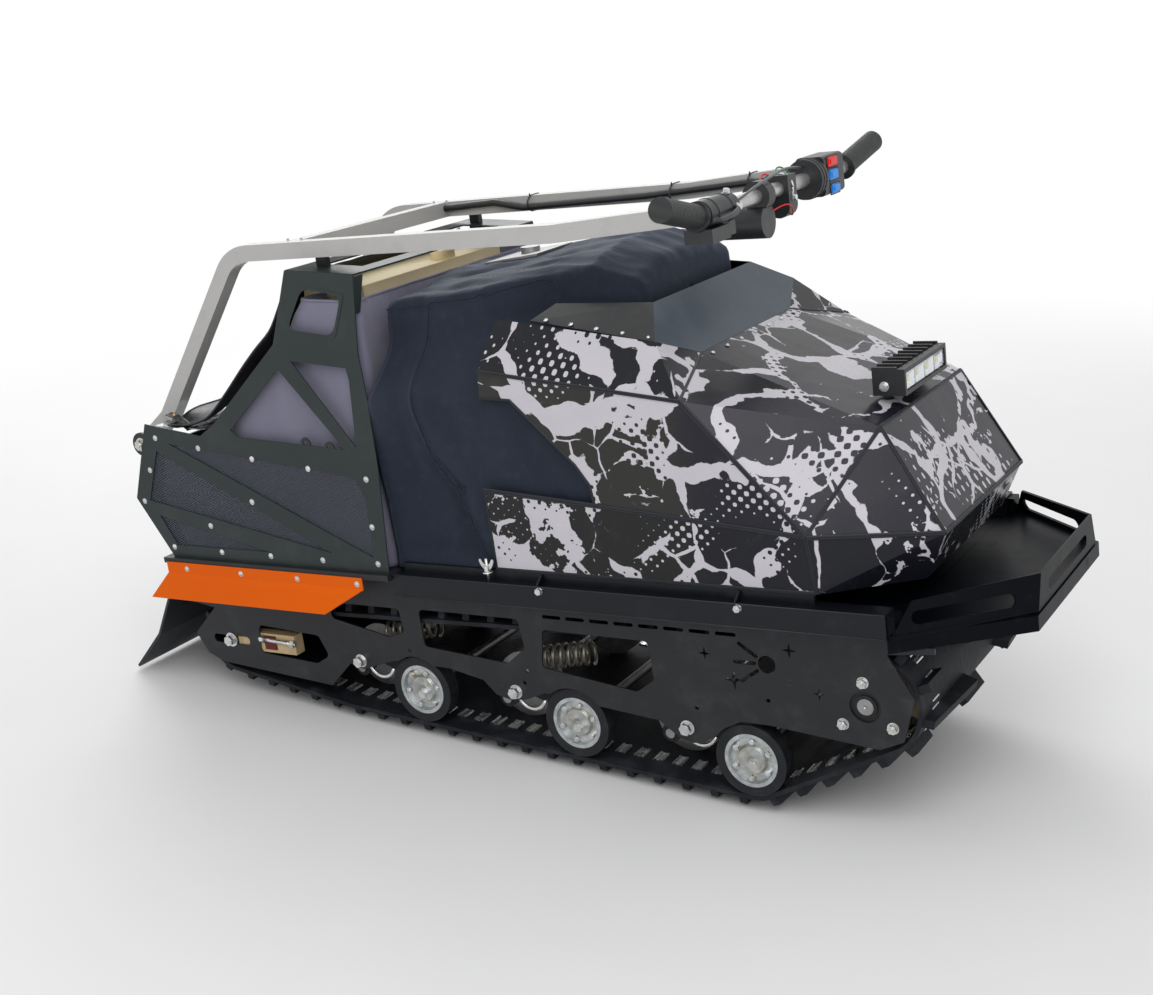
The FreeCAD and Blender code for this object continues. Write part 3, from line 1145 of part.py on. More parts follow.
def make_handle():
    """Two bent square tubes with pivot feet, joined by a cross tube."""
    foot = bar_between(HANDLE_PIVOT, HANDLE_FOOT, FOOT_WIDTH, -HANDLE_Y - FOOT_THICKNESS / 2,
                       -HANDLE_Y + FOOT_THICKNESS / 2)
    pivot_x, pivot_z = HANDLE_PIVOT
    hole = cylinder_y(pivot_x, -HANDLE_Y - FOOT_WIDTH, -HANDLE_Y + FOOT_WIDTH, pivot_z,
                      PIVOT_BOLT_RADIUS + PIVOT_BOLT_FIT)
    side = fuse([handle_arm(), foot]).cut(hole)
    half = HANDLE_TUBE / 2
    inner_y = HANDLE_Y - half
    z = arm_z(HANDLE_CROSS_X)
    cross = box(HANDLE_CROSS_X - half, HANDLE_CROSS_X + half, -inner_y, inner_y, z - half, z + half)
    store("handle_frame", fuse([side, mirror(side), cross]))


def arm_z(x):
    """Height of an arm's centre line over the flat stretch between knee and kink."""
    (x0, z0), (x1, z1) = HANDLE_KNEE, HANDLE_KINK
    return z0 + (z1 - z0) * (x - x0) / (x1 - x0)


def bar_points():
    """The bar's centre line from the right tip to the left one."""
    bend_y = BAR_HALF_LENGTH - BAR_BEND_FROM_TIP
    bend = Vector(BAR_X, -bend_y, BAR_Z)
    tip = Vector(BAR_X + BAR_SWEEP, -BAR_HALF_LENGTH, BAR_Z + BAR_RISE)
    return [tip, bend, Vector(bend.x, -bend.y, bend.z), Vector(tip.x, -tip.y, tip.z)]


def make_bar():
    """The round handlebar and its two flanged rubber grips."""
    points = bar_points()
    store("handlebar", round_tube(points, BAR_RADIUS, BAR_BEND_RADIUS))
    tip = points[0]
    heading = (tip - points[1]).normalize()
    inner = tip - heading * GRIP_LENGTH
    sleeve = Part.makeCylinder(GRIP_RADIUS, GRIP_LENGTH + GRIP_END, inner, heading)
    flange = Part.makeCylinder(GRIP_FLANGE_RADIUS, GRIP_FLANGE_LENGTH, inner, heading)
    bore = Part.makeCylinder(BAR_RADIUS, GRIP_LENGTH + CUT_OVER, inner - heading * CUT_OVER, heading)
    store("grips", both_sides(sleeve.fuse(flange).cut(bore)))


def bar_bore(y0, y1):
    return cylinder_y(BAR_X, y0 - CUT_OVER, y1 + CUT_OVER, BAR_Z, BAR_RADIUS + RUN_GAP)


def arm_end_space():
    """The room that the right arm's end needs in what is clamped on the bar beside it."""
    reach = HANDLE_TUBE / 2 + RUN_GAP
    return box(HANDLE_KINK[0], HANDLE_END[0] + BAR_SEAT, -HANDLE_Y - reach, -HANDLE_Y + reach,
               BAR_Z - FOOT_WIDTH, BAR_Z + FOOT_WIDTH)


def make_switch():
    """The switch housing inboard of the left grip: a drum and a box around the bar."""
    drum_end = SWITCH_DRUM_Y + SWITCH_DRUM_LENGTH
    box_end = drum_end + SWITCH_BOX_LENGTH
    drum = cylinder_y(BAR_X, SWITCH_DRUM_Y, drum_end, BAR_Z, SWITCH_DRUM_RADIUS)
    half_depth = SWITCH_BOX_DEPTH / 2
    half_height = SWITCH_BOX_HEIGHT / 2
    corners = [(BAR_X + sx * half_depth, BAR_Z + sz * half_height)
               for sx, sz in ((-1, -1), (-1, 1), (1, 1), (1, -1))]
    housing = rounded_prism_y(corners, SWITCH_BOX_CORNER, drum_end, box_end)
    store("switch_box", fuse([drum, housing]).cut(bar_bore(SWITCH_DRUM_Y, box_end)))


def brake_body():
    """The brake lever's body inboard of the right grip, with a flat box below it."""
    y0 = -BAR_HALF_LENGTH + BRAKE_FROM_TIP
    y1 = y0 + BRAKE_BODY_LENGTH
    body = cylinder_y(BAR_X, y0, y1, BAR_Z, BRAKE_BODY_RADIUS)
    flat_y0 = y0 - BRAKE_BOX_OUT
    flat_y1 = flat_y0 + BRAKE_BOX_WIDTH
    flat_z = BAR_Z - BRAKE_BOX_DROP
    flat = box(BAR_X - BRAKE_BOX_DEPTH / 2, BAR_X + BRAKE_BOX_DEPTH / 2, flat_y0, flat_y1, flat_z,
               flat_z + BRAKE_BOX_HEIGHT)
    neck = box(BAR_X - BRAKE_BODY_RADIUS / 2, BAR_X + BRAKE_BODY_RADIUS / 2, (flat_y0 + flat_y1) / 2, y1,
               flat_z, BAR_Z)
    return fuse([body, flat, neck]).cut([bar_bore(flat_y0, y1), arm_end_space()])


def lamp_pod():
    """A small round lamp strapped under the bar."""
    back = Vector(BAR_X - POD_BACK, POD_Y, BAR_Z - POD_DROP)
    pod = Part.makeCylinder(POD_RADIUS, POD_BACK + POD_FRONT, back, Vector(1, 0, 0))
    strap = cylinder_y(BAR_X, POD_Y - BAR_RADIUS, POD_Y + BAR_RADIUS, BAR_Z, 2 * BAR_RADIUS)
    return pod.fuse(strap).cut(bar_bore(POD_Y - BAR_RADIUS, POD_Y + BAR_RADIUS))


def bar_clamp():
    """The block clamped at the middle of the bar."""
    y0 = CLAMP_Y - CLAMP_WIDTH / 2
    y1 = CLAMP_Y + CLAMP_WIDTH / 2
    drop = BAR_Z - CLAMP_DROP + CLAMP_DEPTH / 2
    block = box(BAR_X - CLAMP_DEPTH / 2, BAR_X + CLAMP_DEPTH / 2, y0, y1, drop, BAR_Z + CLAMP_TOP)
    clamp = fuse([block, cylinder_y(BAR_X, y0, y1, drop, CLAMP_DEPTH / 2)])
    return clamp.cut(bar_bore(y0, y1))


def make_cable():
    """The wiring that runs along the left arm to the switch housing."""
    y = HANDLE_Y - HANDLE_TUBE / 2 - CABLE_RADIUS - RUN_GAP
    end_x = BAR_X - SWITCH_BOX_DEPTH / 2 - RUN_GAP
    last_x, last_z = CABLE_ROUTE[-1]
    start_x = HANDLE_CROSS_X + HANDLE_TUBE / 2 + RUN_GAP
    points = [Vector(x, y, z) for x, z in [(start_x, CABLE_START_Z)] + CABLE_ROUTE]
    points.append(Vector((last_x + end_x) / 2, CABLE_END_Y, (last_z + BAR_Z) / 2))
    points.append(Vector(end_x, CABLE_END_Y, BAR_Z))
    store("cable_bundle", round_tube(points, CABLE_RADIUS, CABLE_BEND_RADIUS))


def make_pivots():
    """Paired ears with bolt and washers behind the cage for each arm's foot, and the rests under the arms."""
    skin = [CAGE_REAR_LOW, CAGE_REAR_BEND, CAGE_REAR_HIGH]
    inner_side = offset_path(skin, -RAIL_WIDTH * 2)
    behind = prism_y(offset_path(skin, RUN_GAP) + inner_side[::-1], -CAGE_Y, CAGE_Y)
    reach = FOOT_THICKNESS / 2 + EAR_CLEARANCE
    pivot_x, pivot_z = HANDLE_PIVOT
    pieces = []
    for y in (-HANDLE_Y - reach - EAR_THICKNESS, -HANDLE_Y + reach):
        pieces.append(bar_between(HANDLE_PIVOT, EAR_ROOT, EAR_WIDTH, y, y + EAR_THICKNESS).cut(behind))
    outer = reach + EAR_THICKNESS
    pieces.append(cylinder_y(pivot_x, -HANDLE_Y - outer, -HANDLE_Y + outer, pivot_z, PIVOT_BOLT_RADIUS))
    pieces.append(cylinder_y(pivot_x, -HANDLE_Y - outer - PIVOT_WASHER_THICKNESS, -HANDLE_Y - outer, pivot_z,
                             PIVOT_WASHER_RADIUS))
    store("pivot_brackets", both_sides(fuse(pieces)))
    (rear_x, rear_z), (front_x, front_z) = CAGE_TOP_REAR, CAGE_TOP_FRONT
    slope = (front_z - rear_z) / (front_x - rear_x)
    ends = (BUFFER_REAR_X, BUFFER_REAR_X + BUFFER_LENGTH)
    foot = [(x, rear_z + slope * (x - rear_x) + RUN_GAP) for x in ends]
    tip = [(x, arm_z(x) - HANDLE_TUBE / 2 - RUN_GAP) for x in reversed(ends)]
    half = BUFFER_WIDTH / 2
    store("rest_buffers", both_sides(prism_y(foot + tip, -HANDLE_Y - half, -HANDLE_Y + half)))


make_track()
make_wheels()
make_axles()
make_suspension()
make_drive()
make_bearings()
make_idler()
make_side_plates()
make_deck()
make_rails()
make_scoop(make_hood())
make_lamp()
make_cage()
make_bay()
make_cover()
make_top_plate()
make_bumper()
make_fenders()
make_flap()
make_hitch()
make_handle()
make_bar()
make_switch()
store("bar_controls", [brake_body(), lamp_pod(), bar_clamp()])
make_cable()
make_pivots()

os.makedirs("parts", exist_ok=True)
overall = Part.makeCompound(list(parts.values())).optimalBoundingBox(False, False)
centring = Vector(-overall.Center.x, 0, -overall.ZMin)
print("origin moved by", centring, "overall", overall.XLength, overall.YLength, overall.ZLength)
for name, shape in parts.items():
    shape.translate(centring)
    shape.exportStep(os.path.join("parts", name + ".step"))
    print(name, len(shape.Solids), "solids", "valid" if shape.isValid() else "INVALID")
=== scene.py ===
import math
import bmesh
import bpy
from mathutils import Matrix, Vector, noise


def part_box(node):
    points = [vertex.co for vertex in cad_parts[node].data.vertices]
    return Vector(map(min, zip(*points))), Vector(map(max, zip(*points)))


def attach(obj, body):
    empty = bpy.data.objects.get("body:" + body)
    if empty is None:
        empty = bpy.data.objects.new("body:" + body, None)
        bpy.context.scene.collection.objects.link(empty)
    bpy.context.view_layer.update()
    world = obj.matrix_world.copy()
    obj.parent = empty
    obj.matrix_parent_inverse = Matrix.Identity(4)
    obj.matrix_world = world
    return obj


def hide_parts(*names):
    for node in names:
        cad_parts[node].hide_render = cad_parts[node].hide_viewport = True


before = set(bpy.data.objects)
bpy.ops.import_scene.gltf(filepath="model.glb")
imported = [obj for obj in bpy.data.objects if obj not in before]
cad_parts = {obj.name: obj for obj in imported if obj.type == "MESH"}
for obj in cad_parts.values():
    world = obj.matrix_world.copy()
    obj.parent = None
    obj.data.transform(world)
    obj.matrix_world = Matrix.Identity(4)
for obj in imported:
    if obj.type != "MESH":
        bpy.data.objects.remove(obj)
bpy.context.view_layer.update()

# ------------------------------------------------------------------ floor, light and camera
# The machine stands on a plain pale studio floor that fades into a white backdrop.
# Two large soft lamps and an even world light it, and the lens looks at its right front corner.
PITCH = math.radians(4.5)
idler_low, idler_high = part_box("idler_axle")
SHIFT = (idler_low.x + idler_high.x) / 2 + 0.4215


def ground(x, y, z):
    """A point in millimetres in the running gear's level frame, as a point in metres."""
    return Vector((x / 1000 + SHIFT, y / 1000, z / 1000))


def chassis(x, y, z):
    """A point in millimetres on the chassis, which sits nose-up, as a point in metres."""
    return ground(x * math.cos(PITCH) - z * math.sin(PITCH), y, x * math.sin(PITCH) + z * math.cos(PITCH))


def heading(x, y, z):
    """A direction on the chassis, turned with it."""
    return (chassis(x, y, z) - chassis(0, 0, 0)).normalized()


def shade(red, green, blue):
    """A colour given as screen values from 0 to 255, as the shader wants it."""
    def linear(value):
        value /= 255
        return value / 12.92 if value <= 0.04045 else ((value + 0.055) / 1.055) ** 2.4
    return (linear(red), linear(green), linear(blue), 1.0)


class Signal:
    """A socket of a finish under construction; arithmetic on it adds the Math nodes."""

    def __init__(self, finish, socket):
        self.finish = finish
        self.socket = socket

    def math(self, operation, first, second=0.0):
        return self.finish.node("ShaderNodeMath", {"operation": operation}, {0: first, 1: second})

    def __add__(self, other):
        return self.math("ADD", self, other)

    def __sub__(self, other):
        return self.math("SUBTRACT", self, other)

    def __rsub__(self, other):
        return self.math("SUBTRACT", other, self)

    def __mul__(self, other):
        return self.math("MULTIPLY", self, other)

    def __lt__(self, other):
        return self.math("LESS_THAN", self, other)

    def __gt__(self, other):
        return self.math("GREATER_THAN", self, other)

    __radd__ = __add__
    __rmul__ = __mul__

    def wave(self):
        return self.math("SINE", self)

    def size(self):
        return self.math("ABSOLUTE", self)

    def root(self):
        return self.math("SQRT", self)

    def largest(self, other):
        return self.math("MAXIMUM", self, other)

    def between(self, low, high):
        """0 below low, 1 above high and a smooth step in between; the other way round if low is higher."""
        return self.finish.node("ShaderNodeMapRange", {"interpolation_type": "SMOOTHSTEP"},
                                {0: self, 1: low, 2: high, 3: 0.0, 4: 1.0})


class Finish:
    """A material being built around one Principled shader. Its patterns read Object coordinates in metres."""

    def __init__(self, name, **constants):
        self.material = bpy.data.materials.new(name)
        self.material.use_nodes = True
        tree = self.material.node_tree
        self.nodes = tree.nodes
        self.links = tree.links
        self.shader = self.nodes["Principled BSDF"]
        for label, value in constants.items():
            self.shader.inputs[label.replace("_", " ")].default_value = value
        self.place = self.node("ShaderNodeTexCoord", {}, {}, "Object")

    def node(self, kind, settings, sockets, output=0):
        """Any node: its settings are set first, then the values or links of its sockets."""
        made = self.nodes.new(kind)
        for label, value in settings.items():
            setattr(made, label, value)
        for label, value in sockets.items():
            self.feed(made.inputs[label], value)
        return Signal(self, made.outputs[output])

    def feed(self, socket, value):
        if isinstance(value, Signal):
            self.links.new(value.socket, socket)
        else:
            socket.default_value = value

    def axes(self, place=None):
        """The x, y and z of a place, each as a signal."""
        made = self.node("ShaderNodeSeparateXYZ", {}, {0: place or self.place}).socket.node
        return [Signal(self, output) for output in made.outputs]

    def stretched(self, x, y, z):
        return self.node("ShaderNodeMapping", {}, {"Vector": self.place, "Scale": (x, y, z)})

    def cloud(self, size, detail=3.0, roughness=0.55, place=None):
        """Soft noise with features about that many metres across, from 0 to 1."""
        return self.node("ShaderNodeTexNoise", {}, {"Vector": place or self.place, "Scale": 1 / size,
                                                    "Detail": detail, "Roughness": roughness})

    def mix(self, amount, first, second):
        """A colour between two colours."""
        return self.node("ShaderNodeMix", {"data_type": "RGBA"}, {0: amount, 6: first, 7: second}, 2)

    def relief(self, height, depth, under=None):
        """A bump of that many metres for a height from 0 to 1, over another one if given."""
        sockets = {"Height": height, "Distance": depth, "Strength": 1.0}
        if under is not None:
            sockets["Normal"] = under
        return self.node("ShaderNodeBump", {}, sockets)

    def bumps(self, *layers):
        """Bumps laid over one another, from the finest down: each one's size, detail and depth."""
        normal = None
        for size, detail, depth in reversed(layers):
            normal = self.relief(self.cloud(size, detail), depth, normal)
        return normal

    def wear(self, **surfaces):
        """Feeds the shader's sockets: Base_Color, Roughness, Metallic, Alpha, Normal."""
        for label, value in surfaces.items():
            self.feed(self.shader.inputs[label.replace("_", " ")], value)


def dress(finish, *nodes):
    """Gives CAD nodes a finish through their objects' own slots."""
    for name in nodes:
        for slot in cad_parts[name].material_slots:
            slot.link = "OBJECT"
            slot.material = finish.material


def stand(name, data):
    """Puts a mesh, a lamp, a camera or a path in the scene."""
    piece = bpy.data.objects.new(name, data)
    bpy.context.scene.collection.objects.link(piece)
    return piece


def make(name, points, faces, finish, smooth=False):
    """A piece from points in metres and faces, with its normals turned outwards."""
    mesh = bpy.data.meshes.new(name)
    mesh.from_pydata([tuple(point) for point in points], [], faces)
    shell = bmesh.new()
    shell.from_mesh(mesh)
    bmesh.ops.recalc_face_normals(shell, faces=shell.faces)
    for face in shell.faces:
        face.smooth = smooth
    shell.to_mesh(mesh)
    shell.free()
    piece = stand(name, mesh)
    if finish:
        mesh.materials.append(finish.material)
    return piece


def disc(radius, sides):
    """A round patch of floor in rings, wide enough to run out of the view."""
    points = [Vector((0, 0, 0))]
    points += [Vector((radius * math.cos(2 * math.pi * k / sides),
                       radius * math.sin(2 * math.pi * k / sides), 0))
               for k in range(sides)]
    return points, [(0, k + 1, (k + 1) % sides + 1) for k in range(sides)]


floor_finish = Finish("studio_floor", Roughness=0.75, Specular_IOR_Level=0.2)
floor_x, floor_y = floor_finish.axes()[:2]
floor_reach = (floor_x * floor_x + floor_y * floor_y).between(2.0, 14.0)
floor_finish.wear(Base_Color=floor_finish.mix(floor_finish.cloud(0.4), shade(236, 236, 237),
                                              shade(242, 242, 243)))
backdrop = floor_finish.node("ShaderNodeEmission", {}, {"Color": (1, 1, 1, 1), "Strength": 1.0})
blend = floor_finish.nodes.new("ShaderNodeMixShader")
floor_finish.links.new(floor_reach.socket, blend.inputs[0])
floor_finish.links.new(floor_finish.shader.outputs[0], blend.inputs[1])
floor_finish.links.new(backdrop.socket, blend.inputs[2])
floor_finish.links.new(blend.outputs[0], floor_finish.nodes["Material Output"].inputs[0])
floor = make("studio_floor", *disc(9.0, 64), floor_finish)

world = bpy.data.worlds.new("studio")
bpy.context.scene.world = world
world.use_nodes = True
sky = world.node_tree
path = sky.nodes.new("ShaderNodeLightPath")
seen = path.outputs["Is Camera Ray"]
for label in ("Is Glossy Ray", "Is Transmission Ray"):
    either = sky.nodes.new("ShaderNodeMath")
    either.operation = "MAXIMUM"
    sky.links.new(seen, either.inputs[0])
    sky.links.new(path.outputs[label], either.inputs[1])
    seen = either.outputs[0]
strength = sky.nodes.new("ShaderNodeMapRange")
sky.links.new(seen, strength.inputs[0])
strength.inputs[3].default_value = 0.62
strength.inputs[4].default_value = 1.0
sky.links.new(strength.outputs[0], sky.nodes["Background"].inputs[1])
sky.nodes["Background"].inputs[0].default_value = (1, 1, 1, 1)


def softbox(name, place, size, power):
    """A large square lamp that faces the machine."""
    data = bpy.data.lights.new(name, "AREA")
    data.size = size
    data.energy = power
    lamp = stand(name, data)
    lamp.location = place
    lamp.rotation_euler = (Vector((0, 0, 0.4)) - Vector(place)).to_track_quat("-Z", "Y").to_euler()


softbox("key_softbox", (1.6, -2.6, 3.0), 2.4, 62.0)
softbox("rim_softbox", (-2.2, 2.4, 2.8), 2.6, 60.0)

turn, rise, roll = math.radians(32.08), math.radians(18.23), math.radians(-3.36)
aim = ground(176.7, 0, 378.7)
distance = 2.8061
back = Vector((math.sin(turn) * math.cos(rise), -math.cos(turn) * math.cos(rise), math.sin(rise)))
across = Vector((math.cos(turn), math.sin(turn), 0))
upward = back.cross(across)
camera_data = bpy.data.cameras.new("camera")
camera_data.lens = 51.0
camera_data.sensor_width = 36.0
camera = stand("camera", camera_data)
camera.matrix_world = Matrix.Translation(aim + distance * back) @ Matrix((
    math.cos(roll) * across + math.sin(roll) * upward,
    math.cos(roll) * upward - math.sin(roll) * across, back)).transposed().to_4x4()
bpy.context.scene.camera = camera
bpy.context.scene.view_settings.view_transform = "Standard"


# ------------------------------------------------------------------ track
# One endless rubber belt, moulded round fabric cords and cross rods, with rows of square lugs.
# Zinc-plated steel clips are crimped over the belt's rods where the drive teeth bear on it.
rubber = Finish("track_rubber", Specular_IOR_Level=0.25)
belt_dust = rubber.cloud(0.05, 5.0).between(0.42, 0.8)
belt_grain = rubber.cloud(0.0016, 2.0)
rubber.wear(Base_Color=rubber.mix(belt_dust, shade(18, 20, 26), shade(50, 53, 58)),
            Roughness=belt_dust * 0.2 + 0.62,
            Normal=rubber.relief(belt_grain, 0.0004, rubber.relief(rubber.cloud(0.012), 0.0012)))
dress(rubber, "track")

zinc = Finish("zinc_plate", Metallic=0.9)
zinc_patch = zinc.cloud(0.012, 4.0).between(0.35, 0.7)
zinc_tint = zinc.cloud(0.05, 2.0).between(0.4, 0.75)
zinc_bright = zinc.mix(zinc_patch, shade(196, 199, 201), shade(222, 224, 226))
zinc.wear(Base_Color=zinc.mix(zinc_tint * 0.45, zinc_bright, shade(196, 186, 158)),
          Roughness=zinc_patch * 0.14 + 0.24,
          Normal=zinc.relief(zinc.cloud(0.0018, 2.0), 0.00008))


class Recipe:
    """A Geometry Nodes tree under construction: named sizes go in, and one plain mesh comes out."""

    def __init__(self, name, **sizes):
        self.tree = bpy.data.node_groups.new(name, "GeometryNodeTree")
        face = self.tree.interface
        face.new_socket("Base", in_out="INPUT", socket_type="NodeSocketGeometry")
        for label, value in sizes.items():
            kind = "NodeSocketInt" if isinstance(value, int) else "NodeSocketFloat"
            face.new_socket(label, in_out="INPUT", socket_type=kind).default_value = value
        face.new_socket("Finish", in_out="INPUT", socket_type="NodeSocketMaterial")
        face.new_socket("Pieces", in_out="OUTPUT", socket_type="NodeSocketGeometry")
        self.inputs = self.tree.nodes.new("NodeGroupInput").outputs
        self.result = self.tree.nodes.new("NodeGroupOutput").inputs

    def node(self, kind, settings, sockets, output=0):
        made = self.tree.nodes.new(kind)
        for label, value in settings.items():
            setattr(made, label, value)
        for label, value in sockets.items():
            if isinstance(value, bpy.types.NodeSocket):
                self.tree.links.new(value, made.inputs[label])
            else:
                made.inputs[label].default_value = value
        return made.outputs[output]

    def times(self, first, second):
        return self.node("ShaderNodeMath", {"operation": "MULTIPLY"}, {0: first, 1: second})

    def moved(self, geometry, up):
        """Geometry moved along its own axis by a size."""
        shift = self.node("ShaderNodeCombineXYZ", {}, {"Z": up})
        return self.node("GeometryNodeTransform", {}, {"Geometry": geometry, "Translation": shift})

    def drum(self, sides, radius, height, foot):
        """An upright prism or cylinder whose underside stands at foot."""
        made = self.node("GeometryNodeMeshCylinder", {}, {"Vertices": sides, "Radius": radius, "Depth": height})
        middle = self.node("ShaderNodeMath", {"operation": "MULTIPLY_ADD"}, {0: height, 1: 0.5, 2: foot})
        return self.moved(made, middle)

    def aimed(self):
        """Turns each copy's own axis along the outward direction of its spot."""
        out = self.node("GeometryNodeInputNamedAttribute", {"data_type": "FLOAT_VECTOR"}, {"Name": "out"})
        return self.node("FunctionNodeAlignRotationToVector", {"axis": "Z"}, {"Vector": out})

    def joined(self, *geometries):
        made = self.tree.nodes.new("GeometryNodeJoinGeometry")
        for geometry in geometries:
            self.tree.links.new(geometry, made.inputs[0])
        return made.outputs[0]

    def close(self, geometry):
        """The last two steps of every tree: real meshes instead of instances, and their material."""
        real = self.node("GeometryNodeRealizeInstances", {}, {"Geometry": geometry})
        done = self.node("GeometryNodeSetMaterial", {}, {"Geometry": real, "Material": self.inputs["Finish"]})
        self.tree.links.new(done, self.result["Pieces"])


def grow(name, recipe, base, finish, **sizes):
    """Runs a recipe on a base object and returns its result as a plain piece."""
    modifier = base.modifiers.new("grow", "NODES")
    modifier.node_group = recipe.tree
    for item in recipe.tree.interface.items_tree:
        if item.in_out == "INPUT" and item.name in sizes:
            modifier[item.identifier] = sizes[item.name]
        if item.name == "Finish":
            modifier[item.identifier] = finish.material
    evaluated = base.evaluated_get(bpy.context.evaluated_depsgraph_get())
    mesh = bpy.data.meshes.new_from_object(evaluated)
    mesh.name = name
    mesh.materials.clear()
    mesh.materials.append(finish.material)
    for face in mesh.polygons:
        face.material_index = 0
    bpy.data.objects.remove(base)
    return stand(name, mesh)


def wire(name, points, closed=False, bend=False):
    """A path for a recipe or a tube: straight runs, or a smooth line through control points."""
    data = bpy.data.curves.new(name, "CURVE")
    data.dimensions = "3D"
    data.resolution_u = 8
    spline = data.splines.new("NURBS" if bend else "POLY")
    spline.points.add(len(points) - 1)
    for knot, point in zip(spline.points, points):
        knot.co = (*point, 1.0)
    spline.use_cyclic_u = closed
    if bend:
        spline.order_u = 3
        spline.use_endpoint_u = True
    return stand(name, data)


def wheel_circles(spread):
    """The four circles that the belt wraps, as (x, z, radius) in metres, seen from the right."""
    idler = (idler_low + idler_high) / 2
    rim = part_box("idler_wheels")
    drive_low, drive_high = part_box("drive_shaft")
    drive = (drive_low + drive_high) / 2
    axle_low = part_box("wheel_axles")[0]
    roller = (rim[1].z - rim[0].z) / 2
    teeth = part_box("drive_sprockets")
    wheel_z = ground(0, 0, 90).z
    return [(idler.x, idler.z, roller + spread), (axle_low.x + roller, wheel_z, roller + spread),
            (ground(617, 0, 0).x, wheel_z, roller + spread),
            (drive.x, drive.z, (teeth[1].z - teeth[0].z) / 2 + spread)]


def belt_line(spread, y):
    """Points on the belt's loop, that far outside its inner face."""
    circles = wheel_circles(spread)
    points = []
    for before, here, after in zip(circles[-1:] + circles[:-1], circles, circles[1:] + circles[:1]):
        angles = []
        for (ax, az, ar), (bx, bz, br) in ((before, here), (here, after)):
            angles.append(math.atan2(bz - az, bx - ax) - math.asin((ar - br) / math.hypot(bx - ax, bz - az))
                          - math.pi / 2)
        while angles[1] < angles[0]:
            angles[1] += 2 * math.pi
        steps = max(2, round((angles[1] - angles[0]) * here[2] / 0.02))
        for k in range(steps + 1):
            angle = angles[0] + (angles[1] - angles[0]) * k / steps
            points.append(Vector((here[0] + here[2] * math.cos(angle), y, here[1] + here[2] * math.sin(angle))))
    return points


clips = Recipe("belt_clips", Count=84, Length=0.013, Width=0.026, Height=0.0105, Roll=0.0026)
clip_spots = clips.node("GeometryNodeResampleCurve", {}, {"Curve": clips.inputs["Base"],
                                                          "Count": clips.inputs["Count"]})
clip_size = clips.node("ShaderNodeCombineXYZ", {}, {"X": clips.inputs["Width"], "Y": clips.inputs["Height"],
                                                    "Z": clips.inputs["Length"]})
clip_plate = clips.node("GeometryNodeMeshCube", {}, {"Size": clip_size})
clip_lip = clips.node("GeometryNodeMeshCylinder", {}, {"Vertices": 8, "Radius": clips.inputs["Roll"],
                                                       "Depth": clips.inputs["Width"]})
clip_lips = [clips.node("GeometryNodeTransform", {}, {"Geometry": clip_lip, "Translation": (0, up, side),
                                                      "Rotation": (0, math.pi / 2, 0)})
             for up in (-0.0042, 0.0042) for side in (-0.0062, 0.0062)]
clip_turn = clips.node("GeometryNodeInputTangent", {}, {})
clip_turn = clips.node("FunctionNodeAxesToRotation", {"primary_axis": "Z", "secondary_axis": "X"},
                       {"Primary Axis": clip_turn, "Secondary Axis": (0, 1, 0)})
clips.close(clips.node("GeometryNodeInstanceOnPoints", {}, {
    "Points": clip_spots, "Instance": clips.joined(clip_plate, *clip_lips), "Rotation": clip_turn}))
for side, y in (("right", -0.197), ("left", 0.197)):
    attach(grow("belt_clips_" + side, clips, wire("belt", belt_line(0.0035, y), True), zinc), "chassis")


# ------------------------------------------------------------------ road wheels
# Six rubber-tyred wheels run on the lower belt. Each has a zinc-plated pressed-steel hub, six nuts
# that clamp its two halves, and a bolt on its axle.
WHEEL_STEP = 0.308
wheel_axis = ground(1.0, 0, 90.0)


def from_axle(finish):
    """The distance from the nearest wheel's axle, for finishes that turn with the wheel."""
    x, _, z = finish.axes()
    along = finish.node("ShaderNodeMath", {"operation": "WRAP"},
                        {0: x, 1: wheel_axis.x + WHEEL_STEP / 2, 2: wheel_axis.x - WHEEL_STEP / 2})
    along = along - wheel_axis.x
    rise = z - wheel_axis.z
    return (along * along + rise * rise).root()


tyre = Finish("tyre_rubber", Specular_IOR_Level=0.3)
tyre_reach = from_axle(tyre)
tyre_dust = tyre.cloud(0.02, 4.0).between(0.45, 0.8)
tyre_rings = (tyre_reach * 2600.0).wave()
tyre.wear(Base_Color=tyre.mix(tyre_dust * 0.6, shade(20, 22, 27), shade(56, 55, 56)),
          Roughness=tyre_dust * 0.2 + 0.5,
          Normal=tyre.relief(tyre_rings, 0.00018, tyre.relief(tyre.cloud(0.0015, 2.0), 0.0002)))
dress(tyre, "road_wheel_tyres")

hub = Finish("hub_zinc", Metallic=0.9)
hub_reach = from_axle(hub)
hub_patch = hub.cloud(0.014, 5.0).between(0.3, 0.75)
hub_grime = hub_reach.between(0.034, 0.026) * hub.cloud(0.01, 4.0).between(0.3, 0.7)
hub_bright = hub.mix(hub_patch, shade(168, 174, 176), shade(205, 209, 210))
hub.wear(Base_Color=hub.mix(hub_grime * 0.6, hub_bright, shade(158, 148, 118)),
         Roughness=hub_patch * 0.18 + 0.28,
         Normal=hub.relief((hub_reach * 4200.0).wave(), 0.00006, hub.relief(hub.cloud(0.004), 0.00025)))
dress(hub, "road_wheel_hubs")

